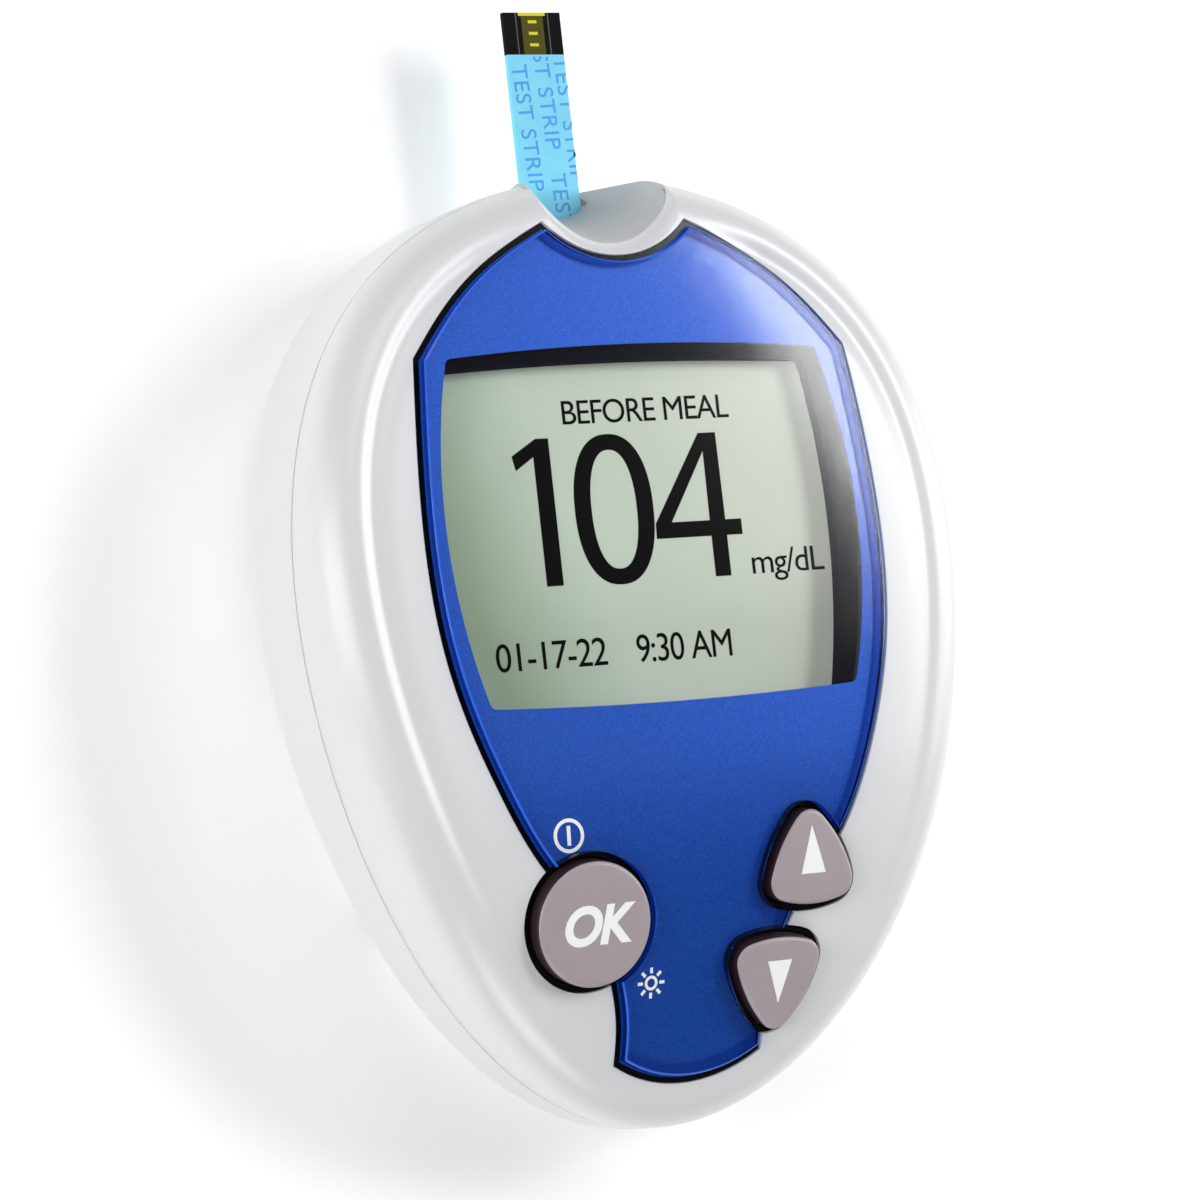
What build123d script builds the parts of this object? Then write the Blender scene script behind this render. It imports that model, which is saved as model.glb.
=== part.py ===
from build123d import *
import os
from math import cos, sin, pi, sqrt, asin, degrees

os.makedirs("parts", exist_ok=True)

# Hand-held blood glucose meter, lying on its back. X is its width, +Y points to the end that takes
# the test strip, +Z is out of the display. The origin is under the middle of the casing, on the
# plane that the back rests on. All sizes are millimetres.

# ---- driving dimensions: casing ------------------------------------------------------------------
body_length = 79.4
body_width = 60.5
egg_skew, egg_bulge, egg_tip = 0.186, 0.087, 0.015   # how the outline swells towards the strip end
outline_points = 16          # points that the casing outline's spline runs through
spline_spans = 12            # spans of a redrawn faceplate curve
face_spans = 12              # spans of the face's lengthwise curve
crest_height = 21.6          # highest point of the faceplate above the back
crest_place = -9.3           # where along the length that point is
lower_sweep = 62.0           # radius of the face from the crest to the button end
upper_sweep = 484.0          # radius of the face from the crest to the strip end
wall = 1.6
front_rounding = 4.0
back_rounding = 7.5
rim_drop = 0.8               # the casing's rim lies this far below the faceplate
parting_height = 13.0        # parting plane above the back, at mid length
parting_slope = 0.078        # the parting plane climbs towards the strip end
parting_gap = 0.15
lip_thickness, lip_height, lip_clearance = 0.7, 1.0, 0.1
lip_high_end = 26.0          # the lip stops short of the strip port

# ---- driving dimensions: faceplate, tray and display ---------------------------------------------
lens_thickness = 0.85
film_thickness = 0.15
tray_thickness = 0.9
tray_margin = 0.6            # black edge left visible all round the faceplate
seat_gap = 0.05              # assembly gap between stacked or nested fixed pieces
front_floor = 1.0            # casing wall under the tray
notch_tip = (6.9, 34.7)
notch_depth_y = 31.85
shoulder = (19.8, 24.1)
upper_edge = [(12.0, 31.9), (16.4, 28.2)]
side_edge = [(20.9, 10.0), (20.1, -0.8), (16.9, -10.8), (13.4, -17.2),
             (9.2, -22.4), (7.2, -27.0), (6.4, -31.0)]
tongue_corner = (6.35, -33.7)
tongue_end_y = -35.5
window_top = (17.45, 24.2)
window_bottom = (17.25, -4.5)
window_bow_top, window_bow_bottom = 0.75, 0.45
window_side = (19.45, 10.1)
window_corner_radius = 0.6
tray_window_margin = 0.3
display_top = (17.3, 23.3)   # the display frame's own opening
display_bottom = (17.2, -4.7)
display_bow_top, display_bow_bottom = 0.5, 0.35
display_side = (18.7, 10.0)
frame_height = 17.9          # top of the display frame above the back
frame_collar = 0.8
frame_flange = 0.4
frame_border = 1.2           # collar beyond the window outline
frame_wall = 0.9
glass_length, glass_width, glass_thickness = 35.0, 42.4, 2.0
glass_centre_y = 9.1
guide_margin = 0.7
zebra_width, zebra_length = 1.6, 38.0
led_size = (1.6, 0.5, 0.9)
led_spacing = 18.0

# ---- driving dimensions: buttons -----------------------------------------------------------------
button_proud = 0.45
button_travel = 0.5
button_side_gap = 0.15
ring_width = 0.65            # black recess round each button
button_edge_round = 0.35
ok_radius = 5.2
ok_place = (-9.9, -22.4)
arrow_width, arrow_height, arrow_corner, arrow_bow = 8.0, 7.6, 1.6, 0.35
up_place = (10.7, -18.5)
down_place = (7.5, -28.9)
flange_overhang, flange_thickness = 0.9, 0.5
plunger_radius = 1.5
dome_radius, dome_height = 2.6, 0.35
press_stop = 0.05            # left between plunger and dome when a button is fully pressed

# ---- driving dimensions: circuit board and strip port --------------------------------------------
board_underside = 12.3
board_thickness = 1.0
board_edge_gap = 1.3
board_low_end, board_high_end = -31.0, 33.2
board_hole_clearance = 0.3
strip_length, strip_width, strip_thickness = 30.0, 5.5, 0.5
strip_height = 8.3           # middle of the strip above the back
strip_end_y = 55.4           # outer end of the strip when it is fully in
strip_slot_gap = 0.2
connector_width, connector_floor = 11.0, 1.4
connector_back = 1.4         # connector beyond the strip's inner end
contact_width, contact_pitch, contact_thickness = 0.8, 1.5, 0.2
contact_reach = 5.0          # from the strip's inner end to the contact's upright leg
contact_tip_reach = 1.5      # from the strip's inner end to the contact's rounded tip
contact_slot_length = 6.0
controller_size, controller_place = (7.0, 7.0, 1.2), (-18.0, 15.0)
memory_size, memory_place = (4.0, 5.0, 1.0), (-17.5, 4.0)
crystal_size, crystal_place = (3.2, 5.0, 1.3), (-18.5, -6.0)
capacitor_size, capacitor_place = (2.8, 4.3, 1.9), (17.5, -7.5)
scoop_top_height, scoop_top_radius, scoop_top_centre = 18.3, 6.5, 40.0
scoop_low_height, scoop_low_radius, scoop_low_front = 8.3, 3.6, 37.7
scoop_floor = 7.3
port_wall = 1.1
port_cover = 2.3             # casing lip left above the strip port, measured down from the face

# ---- driving dimensions: cells, door, screws, jack -----------------------------------------------
cell_length, cell_diameter = 44.5, 10.5
nub_length, nub_diameter = 0.8, 3.8
cell_edge_round = 0.5
cell_underside = 1.5
cell_spacing = 11.0
cell_side_gap = 0.4
bay_wall = 1.0
bay_corner_half = 10.05     # the bay starts where the casing leaves this half width for it
bay_corner_inset = 3.4       # the bay's corners stay this far inside the casing's outline
spring_length, spring_radius, spring_wire, spring_turns = 2.6, 2.4, 0.6, 2
spring_weld = 0.1            # depth to which a coil is welded into its plate
contact_plate_thickness, contact_plate_width, contact_plate_height = 0.4, 7.5, 7.0
door_thickness, door_width = 1.3, 24.0
rail_width, rail_thickness = 1.2, 0.65
door_clearance = 0.12
door_seat_floor = 2.4
grip_grooves, grip_pitch, grip_depth, grip_width = 6, 1.5, 0.35, 0.8
grip_length, grip_start = 12.0, -28.0
screw_diameter, screw_head_diameter, screw_head_height, screw_length = 2.0, 3.8, 1.4, 12.0
screw_seat = 4.0             # underside of the screw heads above the back
screw_tip_gap, screw_clearance, screw_sink_wall = 0.5, 0.15, 0.4
boss_radius = 2.3
screw_insets = [(14.75, 30.2), (11.65, -19.5)]   # from the casing's side, and along the length
jack_place_y, jack_bore, jack_bore_depth = 6.0, 2.5, 11.0
jack_body = (11.5, 6.0, 5.2)
jack_barrel_diameter = 5.0
jack_wall_gap = 0.4          # between the jack's body and the casing wall
jack_recess = 0.35           # the barrel's end lies this far inside the casing's widest point

# ---- derived sizes -------------------------------------------------------------------------------
half_length, half_width = body_length / 2, body_width / 2
screw_places = [(side * (half_width - inset), y) for inset, y in screw_insets for side in (1, -1)]
film_bottom = lens_thickness + film_thickness
tray_top = film_bottom + seat_gap
tray_bottom = tray_top + tray_thickness
floor_top = tray_bottom + seat_gap
floor_bottom = floor_top + front_floor
board_top = board_underside + board_thickness
glass_top = frame_height - frame_collar - frame_flange - seat_gap
glass_bottom = glass_top - glass_thickness
reach = half_length + 6.0    # half the size of anything that must be wider than the meter
tall = crest_height + 8.0    # height of anything that must stand above the meter
past = 1.0                   # a cut runs this far past the surface that it starts from


# ---- shared forms --------------------------------------------------------------------------------
def egg_radius(angle):
    s = sin(angle)
    return cos(angle) * (1 + egg_skew * s + egg_bulge * s**2 + egg_tip * s**3)


egg_widest = max(egg_radius(pi * k / 400) for k in range(-200, 200))


def egg_point(angle, inset=0.0):
    """Point of the casing outline, moved inwards along the outline's normal."""
    step = 0.001

    def place(a):
        return half_width * egg_radius(a) / egg_widest, half_length * sin(a)

    (x0, y0), (x1, y1) = place(angle - step), place(angle + step)
    length = sqrt((x1 - x0) ** 2 + (y1 - y0) ** 2)
    x, y = place(angle)
    return x - inset * (y1 - y0) / length, y + inset * (x1 - x0) / length


def low_end_of_width(half, inset):
    """Y at which the lower part of the outline, moved inwards, reaches this half width."""
    low, high = -pi / 2, 0.0
    for _ in range(40):
        middle = (low + high) / 2
        if egg_point(middle, inset)[0] < half:
            low = middle
        else:
            high = middle
    return round(egg_point(low, inset)[1], 2)


bay_low_end = low_end_of_width(bay_corner_half, bay_corner_inset)


def egg_face(inset=0.0):
    points = [egg_point(2 * pi * k / outline_points - pi / 2, inset) for k in range(outline_points)]
    return make_face(Spline(*points, periodic=True))


def prism(face, low, high):
    return extrude(Pos(0, 0, low) * face, amount=high - low)


def block(x0, x1, y0, y1, z0, z1):
    return Pos((x0 + x1) / 2, (y0 + y1) / 2, (z0 + z1) / 2) * Box(x1 - x0, y1 - y0, z1 - z0)


def face_height(y, depth=0.0):
    """Height of the curved face, or of the surface that lies depth below it."""
    sweep = lower_sweep if y < crest_place else upper_sweep
    return crest_height - sweep + sqrt((sweep - depth) ** 2 - (y - crest_place) ** 2)


def under_face(depth):
    """Everything below the face surface lowered by depth, much wider than the meter."""
    stations = [reach * (2 * k / face_spans - 1) for k in range(face_spans + 1)]
    profile = [(y, face_height(y, depth)) for y in stations]
    outline = Spline(*profile) + Polyline(profile[-1], (reach, -reach), (-reach, -reach), profile[0])
    return extrude(Plane.YZ * make_face(outline), amount=reach, both=True)


def face_layer(face, top, bottom):
    """A plate that follows the curved face between two depths."""
    return prism(face, 0, tall) & under_face(top) - under_face(bottom)


def parting_slab(low, high):
    """Slab between two planes parallel to the parting plane."""
    def line(y, rise):
        return y, parting_height + parting_slope * y + rise

    corners = [line(-reach, low), line(reach, low), line(reach, high), line(-reach, high)]
    outline = Polyline(*corners, close=True)
    return extrude(Plane.YZ * make_face(outline), amount=reach, both=True)


def curved_edges(solid, low, high):
    """Edges that aren't straight, with their middle between two heights."""
    return [e for e in solid.edges() if e.geom_type != GeomType.LINE and low < e.center().Z < high]


# ---- casing volume and cavity --------------------------------------------------------------------
def casing_volume():
    solid = prism(egg_face(), 0, tall) & under_face(rim_drop)
    solid = fillet(curved_edges(solid, back_rounding, tall), front_rounding)
    return fillet(curved_edges(solid, -wall, wall), back_rounding)


def cavity_volume():
    solid = prism(egg_face(wall), wall, tall) & under_face(floor_bottom)
    return fillet(curved_edges(solid, 0, 2 * wall), back_rounding - wall)


def upright(x, y, z0, z1, radius):
    return Pos(x, y, (z0 + z1) / 2) * Cylinder(radius, z1 - z0)


# ---- faceplate outlines --------------------------------------------------------------------------
def mirrored(points):
    return [(-x, y) for x, y in reversed(points)]


def faceplate_outline():
    upper = [notch_tip, *upper_edge, shoulder]
    side = [shoulder, *side_edge, tongue_corner]
    lines = Spline(*upper) + Spline(*side)
    lines += ThreePointArc(tongue_corner, (0, tongue_end_y), (-tongue_corner[0], tongue_corner[1]))
    lines += Spline(*mirrored(side)) + Spline(*mirrored(upper))
    lines += ThreePointArc((-notch_tip[0], notch_tip[1]), (0, notch_depth_y), notch_tip)
    return make_face(lines)


def grown_faceplate(margin):
    """Faceplate outline grown by a margin, its long curves redrawn as splines through their own points."""
    curves = []
    for edge in offset(faceplate_outline(), margin).edges():
        if edge.geom_type == GeomType.OFFSET:
            points = [edge @ (k / spline_spans) for k in range(spline_spans + 1)]
            curves.append(Spline(*points, tangents=[edge % 0, edge % 1]))
        else:
            curves.append(edge)
    return make_face(curves)


def bowed_outline(top, side, bottom, bow_top, bow_bottom):
    """Four-sided outline with gently bowed sides and rounded corners."""
    (xt, yt), (xs, ys), (xb, yb) = top, side, bottom
    lines = ThreePointArc((-xt, yt), (0, yt + bow_top), (xt, yt))
    lines += ThreePointArc((xt, yt), (xs, ys), (xb, yb))
    lines += ThreePointArc((xb, yb), (0, yb - bow_bottom), (-xb, yb))
    lines += ThreePointArc((-xb, yb), (-xs, ys), (-xt, yt))
    face = make_face(lines)
    return fillet(face.vertices(), window_corner_radius)


def window_outline():
    return bowed_outline(window_top, window_side, window_bottom, window_bow_top, window_bow_bottom)


def display_outline():
    return bowed_outline(display_top, display_side, display_bottom, display_bow_top, display_bow_bottom)


def arrow_outline(extra=0.0):
    """Rounded triangle that points to +Y, grown by extra all round."""
    half = arrow_width / 2 - arrow_corner
    top, low = arrow_height / 2 - arrow_corner, arrow_corner - arrow_height / 2
    lines = ThreePointArc((-half, low), (0, low - arrow_bow), (half, low))
    lines += ThreePointArc((half, low), (half / 2 + arrow_bow, (top + low) / 2), (0, top))
    lines += ThreePointArc((0, top), (-half / 2 - arrow_bow, (top + low) / 2), (-half, low))
    return offset(make_face(lines), arrow_corner + extra)


def ok_outline(extra=0.0):
    return Circle(ok_radius + extra).face()


# ---- buttons -------------------------------------------------------------------------------------
def button_plane(place):
    """Plane on the face at a button, with its Z along the face's own normal."""
    x, y = place
    lean = asin((y - crest_place) / lower_sweep)
    return Plane(origin=(x, y, face_height(y)), x_dir=(1, 0, 0), z_dir=(0, sin(lean), cos(lean)))


buttons = {
    "ok_button": (ok_outline, ok_place, 0),
    "up_button": (arrow_outline, up_place, 0),
    "down_button": (arrow_outline, down_place, 180),
}


def button_prism(name, extra, top, bottom):
    """Prism along a button's own axis, from top to bottom measured down from the face."""
    outline, place, turn = buttons[name]
    face = Rot(0, 0, turn) * outline(extra)
    return button_plane(place) * extrude(Pos(0, 0, -bottom) * face, amount=bottom - top)


def all_button_prisms(extra, top, bottom):
    first, second, third = [button_prism(name, extra, top, bottom) for name in buttons]
    return first + second + third


def plunger_reach(name):
    """Length of the plunger below the face: its lowest rim point, pressed, stays just clear of the dome."""
    plane = button_plane(buttons[name][1])
    stop = board_top + dome_height + press_stop + plunger_radius * abs(plane.z_dir.Y)
    return (plane.origin.Z - stop) / plane.z_dir.Z - button_travel


def button_solid(name):
    outline, place, turn = buttons[name]
    cap = button_prism(name, 0, -button_proud, floor_bottom + seat_gap)
    top = button_plane(place).offset(button_proud)
    rim = [e for e in cap.edges() if abs(top.to_local_coords(e.center()).Z) < seat_gap]
    cap = fillet(rim, button_edge_round)
    flange_top = floor_bottom + seat_gap
    flange = button_prism(name, flange_overhang, floor_bottom, flange_top + flange_thickness)
    flange &= under_face(flange_top)
    stem = upright(0, 0, -plunger_reach(name), -flange_top, plunger_radius)
    return cap + flange + button_plane(place) * stem


def dome_place(name):
    plane = button_plane(buttons[name][1])
    drop = (plane.origin.Z - board_top) / plane.z_dir.Z
    return plane.origin.X, plane.origin.Y - drop * plane.z_dir.Y


def dome_solid(name):
    """Snap dome: a shallow spherical cap that stands on the board."""
    x, y = dome_place(name)
    sphere_radius = (dome_radius**2 + dome_height**2) / (2 * dome_height)
    ball = Pos(x, y, board_top + dome_height - sphere_radius) * Sphere(sphere_radius)
    return ball & upright(x, y, board_top, board_top + past, dome_radius + past)


# ---- strip port ----------------------------------------------------------------------------------
def scoop(extra=0.0, low=scoop_floor, high=None):
    """Oblique cone of the finger scoop, which narrows from the face down to the strip slot."""
    high = crest_height if high is None else high

    def ring(z):
        share = (z - scoop_low_height) / (scoop_top_height - scoop_low_height)
        low_centre = scoop_low_front + scoop_low_radius
        radius = scoop_low_radius + share * (scoop_top_radius - scoop_low_radius)
        centre = low_centre + share * (scoop_top_centre - low_centre)
        return Pos(0, centre, z) * Circle(radius + extra).face()

    return loft([ring(low), ring(high)])


strip_inner_end = strip_end_y - strip_length
connector_low_end = strip_inner_end - connector_back
port_outside = port_wall + seat_gap


def strip_gap(width_extra, height_extra, low, high):
    half = strip_width / 2 + width_extra
    rise = strip_thickness / 2 + height_extra
    return block(-half, half, low, high, strip_height - rise, strip_height + rise)


def strip_port(casing):
    shell = scoop(port_wall, scoop_floor - port_wall) & under_face(port_cover + seat_gap) & casing
    shell -= scoop()
    return shell - strip_gap(strip_slot_gap, strip_slot_gap, connector_low_end, reach)


def strip_connector():
    high_end = scoop_low_front - port_wall - seat_gap
    low = strip_height - strip_thickness / 2 - strip_slot_gap - connector_floor
    side = connector_width / 2
    body = block(-side, side, connector_low_end, high_end, low, board_underside)
    body -= scoop(port_outside, scoop_floor - port_outside)
    body -= strip_gap(strip_slot_gap, strip_slot_gap, strip_inner_end - strip_slot_gap, reach)
    half = contact_width / 2 + seat_gap
    slot_end = strip_inner_end + contact_slot_length
    for x in (-contact_pitch, 0, contact_pitch):
        body -= block(x - half, x + half, strip_inner_end, slot_end, strip_height, board_underside)
    return body


def strip_contact(k):
    """Sprung contact: soldered to the board, bent down to a rounded tip just above the strip."""
    half = contact_thickness / 2
    solder_z, tip_z = board_underside - half, strip_height + strip_thickness / 2 + seat_gap + half
    leg_y = strip_inner_end + contact_reach
    tip_y = strip_inner_end + contact_tip_reach
    corners = [(leg_y - contact_width, solder_z), (leg_y, solder_z), (leg_y, tip_z + contact_width * 2)]
    corners += [(tip_y, tip_z), (tip_y - contact_width, tip_z + contact_width / 2)]
    ribbon = Plane.YZ * trace(Polyline(*corners), contact_thickness)
    return Pos(k * contact_pitch - contact_width / 2, 0, 0) * extrude(ribbon, amount=contact_width)


# ---- cells, bay and door -------------------------------------------------------------------------
cell_centre_z = cell_underside + cell_diameter / 2
bay_inner_length = cell_length + spring_length + 2 * contact_plate_thickness
bay_high_end = bay_low_end + bay_inner_length
bay_half_width = cell_spacing / 2 + cell_diameter / 2 + cell_side_gap
plate_low, plate_high = bay_low_end + contact_plate_thickness, bay_high_end - contact_plate_thickness
cell_turns = {"battery_left": (-1, 1), "battery_right": (1, -1)}


def along_y(x, z, y0, y1, radius):
    """Cylinder whose axis runs along Y."""
    return Pos(x, (y0 + y1) / 2, z) * Rot(90, 0, 0) * Cylinder(radius, y1 - y0)


def cell(side, nub_way):
    """AAA cell whose nub touches the plate at one end of the bay."""
    x = side * cell_spacing / 2
    tip = plate_high if nub_way > 0 else plate_low
    shoulder_y = tip - nub_way * nub_length
    end = tip - nub_way * cell_length
    can = along_y(x, cell_centre_z, min(shoulder_y, end), max(shoulder_y, end), cell_diameter / 2)
    can = fillet(can.edges().filter_by(GeomType.CIRCLE), cell_edge_round)
    return can + along_y(x, cell_centre_z, min(shoulder_y, tip), max(shoulder_y, tip), nub_diameter / 2)


def cell_spring(side, nub_way):
    """Coil that presses on the flat end of a cell, welded to its own contact plate."""
    x = side * cell_spacing / 2
    start = plate_low if nub_way > 0 else plate_high
    pitch = (spring_length + spring_weld - spring_wire) / spring_turns
    helix = Helix(pitch, pitch * spring_turns, spring_radius)
    section = Plane(origin=helix @ 0, z_dir=helix % 0) * Circle(spring_wire / 2)
    coil = Pos(0, 0, spring_wire / 2 - spring_weld) * sweep(section, path=helix)
    turn = Rot(-90, 0, 0) if nub_way > 0 else Rot(90, 0, 0)
    return contact_plate(side, nub_way > 0) + Pos(x, start, cell_centre_z) * turn * coil


def contact_plate(side, low):
    x = side * cell_spacing / 2
    y0 = bay_low_end if low else plate_high
    half, rise = contact_plate_width / 2, contact_plate_height / 2
    y1 = y0 + contact_plate_thickness
    return block(x - half, x + half, y0, y1, cell_centre_z - rise, cell_centre_z + rise)


def door_blank(clearance, low_end):
    """Door plate and its two rails, grown by clearance for the way that it slides in."""
    half = door_width / 2 + clearance
    high_end = bay_high_end + bay_wall + clearance
    top = door_thickness + clearance
    rail_low = door_thickness - rail_thickness - clearance
    plate = block(-half, half, low_end, high_end, -clearance, top)
    rails = block(-half - rail_width, half + rail_width, low_end, high_end, rail_low, top)
    return plate + rails


def battery_door(casing):
    door = door_blank(0, -reach) & casing
    for k in range(grip_grooves):
        y = grip_start + k * grip_pitch
        door -= block(-grip_length / 2, grip_length / 2, y, y + grip_width, -past, grip_depth)
    return door


# ---- screws and jack -----------------------------------------------------------------------------
def screw(x, y):
    head = upright(x, y, screw_seat - screw_head_height, screw_seat, screw_head_diameter / 2)
    return head + upright(x, y, screw_seat, screw_seat + screw_length, screw_diameter / 2)


jack_end_x = half_width - jack_recess
jack_face_x = half_width - wall - jack_wall_gap
jack_centre_z = board_underside - jack_body[2] / 2


def along_x(x0, x1, y, z, radius):
    return Pos((x0 + x1) / 2, y, z) * Rot(0, 90, 0) * Cylinder(radius, x1 - x0)


def data_jack():
    depth, width, height = jack_body
    low, high = jack_place_y - width / 2, jack_place_y + width / 2
    body = block(jack_face_x - depth, jack_face_x, low, high, board_underside - height, board_underside)
    body += along_x(jack_face_x, jack_end_x, jack_place_y, jack_centre_z, jack_barrel_diameter / 2)
    bore_start = jack_end_x - jack_bore_depth
    return body - along_x(bore_start, jack_end_x + past, jack_place_y, jack_centre_z, jack_bore / 2)


# ---- faceplate, tray and display -----------------------------------------------------------------
def tray_opening(margin):
    """The faceplate's outline grown by a margin, with the three button recesses, as a tall prism."""
    plate = prism(grown_faceplate(margin), 0, tall)
    return plate + all_button_prisms(ring_width + margin - tray_margin, -tray_bottom, floor_top)


def faceplate_layer(top, bottom):
    layer = face_layer(faceplate_outline(), top, bottom)
    return layer - all_button_prisms(ring_width, -tray_bottom, floor_top)


def faceplate_film():
    """Printed film behind the clear plate, with the display window left open."""
    return faceplate_layer(lens_thickness, film_bottom) - prism(window_outline(), 0, tall)


def faceplate_tray():
    tray = (tray_opening(tray_margin - seat_gap) & under_face(tray_top)) - under_face(tray_bottom)
    tray -= all_button_prisms(button_side_gap, 0, floor_bottom)
    return tray - prism(offset(window_outline(), tray_window_margin), 0, tall)


def glass_block(margin, low, high):
    half_x, half_y = glass_width / 2 + margin, glass_length / 2 + margin
    return block(-half_x, half_x, glass_centre_y - half_y, glass_centre_y + half_y, low, high)


def display_frame():
    """Dark frame: a collar that shows in the window, a flange over the glass and a skirt to the board."""
    flange_top = frame_height - frame_collar
    collar = prism(offset(window_outline(), frame_border), flange_top, frame_height)
    skirt = glass_block(frame_wall + 2 * seat_gap, board_top, flange_top)
    skirt -= glass_block(2 * seat_gap, board_top - past, flange_top - frame_flange)
    return collar + skirt - prism(display_outline(), 0, tall)


guide_low_end = glass_centre_y - glass_length / 2 + zebra_width + guide_margin


def light_guide():
    half = glass_width / 2 - guide_margin
    high_end = glass_centre_y + glass_length / 2 - guide_margin
    return block(-half, half, guide_low_end, high_end, board_top + seat_gap, glass_bottom - seat_gap)


def zebra_strip():
    half = zebra_length / 2
    low_end = glass_centre_y - glass_length / 2 + seat_gap
    return block(-half, half, low_end, low_end + zebra_width, board_top, glass_bottom)


def backlight_leds():
    width, depth, height = led_size
    y = glass_centre_y + glass_length / 2 - guide_margin + seat_gap
    first, second = [block(x - width / 2, x + width / 2, y, y + depth, board_top, board_top + height)
                     for x in (-led_spacing / 2, led_spacing / 2)]
    return first + second


# ---- circuit board -------------------------------------------------------------------------------
def circuit_board():
    board = prism(egg_face(wall + board_edge_gap), board_underside, board_top)
    board &= block(-half_width, half_width, board_low_end, board_high_end, 0, tall)
    for x, y in screw_places:
        board -= upright(x, y, 0, tall, screw_diameter / 2 + board_hole_clearance)
    return board


def chip(size, place):
    """Component soldered under the board."""
    width, length, height = size
    return Pos(*place, board_underside - height / 2) * Box(width, length, height)


# ---- housings ------------------------------------------------------------------------------------
def lip_ring(outer_inset, inner_inset, low, high):
    """Ring that stands on the parting plane, between two insets of the casing's outline."""
    ring = prism(egg_face(outer_inset), 0, tall) - prism(egg_face(inner_inset), 0, tall)
    return ring & parting_slab(low, high) & block(-reach, reach, -reach, lip_high_end, 0, tall)


def front_housing(casing, cavity):
    shell = (casing & parting_slab(parting_gap, 2 * tall)) - cavity
    shell -= tray_opening(tray_margin) - under_face(floor_top)
    shell -= all_button_prisms(button_side_gap, 0, floor_bottom + front_floor)
    shell -= prism(offset(window_outline(), frame_border + seat_gap), 0, tall)
    shell -= lip_ring(wall - lip_thickness - lip_clearance, wall + past, 0, lip_height + lip_clearance)
    boss_space = casing & under_face((floor_top + floor_bottom) / 2)
    for x, y in screw_places:
        shell += upright(x, y, board_top + seat_gap, tall, boss_radius) & boss_space
        shell -= upright(x, y, 0, screw_seat + screw_length + screw_tip_gap, screw_diameter / 2 + seat_gap)
    shell -= scoop(port_outside, scoop_floor - port_outside) & under_face(port_cover)
    return shell - scoop()


def rear_housing(casing, cavity):
    inside = casing - parting_slab(0, 2 * tall)
    shell = inside - cavity
    shell += lip_ring(wall - lip_thickness, wall, -lip_height, lip_height)
    pad_half = door_width / 2 + rail_width + bay_wall
    pad = block(-pad_half, pad_half, -reach, bay_high_end + 2 * bay_wall, 0, door_seat_floor)
    bay_half = bay_half_width + bay_wall
    roof = board_underside - seat_gap
    bay = block(-bay_half, bay_half, bay_low_end - bay_wall, bay_high_end + bay_wall, 0, roof)
    shell += (pad + bay) & inside
    for x, y in screw_places:
        shell += upright(x, y, 0, roof, boss_radius + screw_sink_wall) & casing
    hollow = block(-bay_half_width, bay_half_width, bay_low_end, bay_high_end, -past, tall)
    shell -= hollow & prism(egg_face(bay_corner_inset), -past, tall)
    shell -= door_blank(door_clearance, -reach)
    for x, y in screw_places:
        shell -= upright(x, y, -past, screw_seat, screw_head_diameter / 2 + screw_clearance)
        shell -= upright(x, y, -past, tall, screw_diameter / 2 + screw_clearance)
    jack_hole = jack_barrel_diameter / 2 + 2 * seat_gap
    shell -= along_x(jack_face_x - past, reach, jack_place_y, jack_centre_z, jack_hole)
    return shell - scoop(port_outside, scoop_floor - port_outside)


# ---- every piece, one file each ------------------------------------------------------------------
casing, cavity = casing_volume(), cavity_volume()
pieces = {
    "front_housing": front_housing(casing, cavity),
    "rear_housing": rear_housing(casing, cavity),
    "faceplate_lens": faceplate_layer(0, lens_thickness),
    "faceplate_film": faceplate_film(),
    "faceplate_tray": faceplate_tray(),
    "display_frame": display_frame(),
    "display_glass": glass_block(0, glass_bottom, glass_top),
    "light_guide": light_guide(),
    "zebra_strip": zebra_strip(),
    "backlight_leds": backlight_leds(),
    "circuit_board": circuit_board(),
    "microcontroller": chip(controller_size, controller_place),
    "memory_chip": chip(memory_size, memory_place),
    "crystal": chip(crystal_size, crystal_place),
    "capacitor": chip(capacitor_size, capacitor_place),
    "strip_port": strip_port(casing),
    "strip_connector": strip_connector(),
    "test_strip": strip_gap(0, 0, strip_inner_end, strip_end_y),
    "battery_door": battery_door(casing),
    "data_jack": data_jack(),
}
for name in buttons:
    pieces[name] = button_solid(name)
    pieces[name.replace("button", "dome")] = dome_solid(name)
for k, name in enumerate(("left", "middle", "right")):
    pieces["strip_contact_" + name] = strip_contact(k - 1)
for name, (side, nub_way) in cell_turns.items():
    pieces[name] = cell(side, nub_way)
    pieces[name.replace("battery", "battery_spring")] = cell_spring(side, nub_way)
    pieces[name.replace("battery", "battery_plate")] = contact_plate(side, nub_way < 0)
for number, (x, y) in enumerate(screw_places, start=1):
    pieces[f"screw_{number}"] = screw(x, y)

for name, solid in pieces.items():
    export_step(solid, f"parts/{name}.step")
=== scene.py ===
import math

import bpy
import numpy as np
from bpy.props import FloatProperty, FloatVectorProperty, PointerProperty
from mathutils import Matrix, Quaternion, Vector


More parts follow.
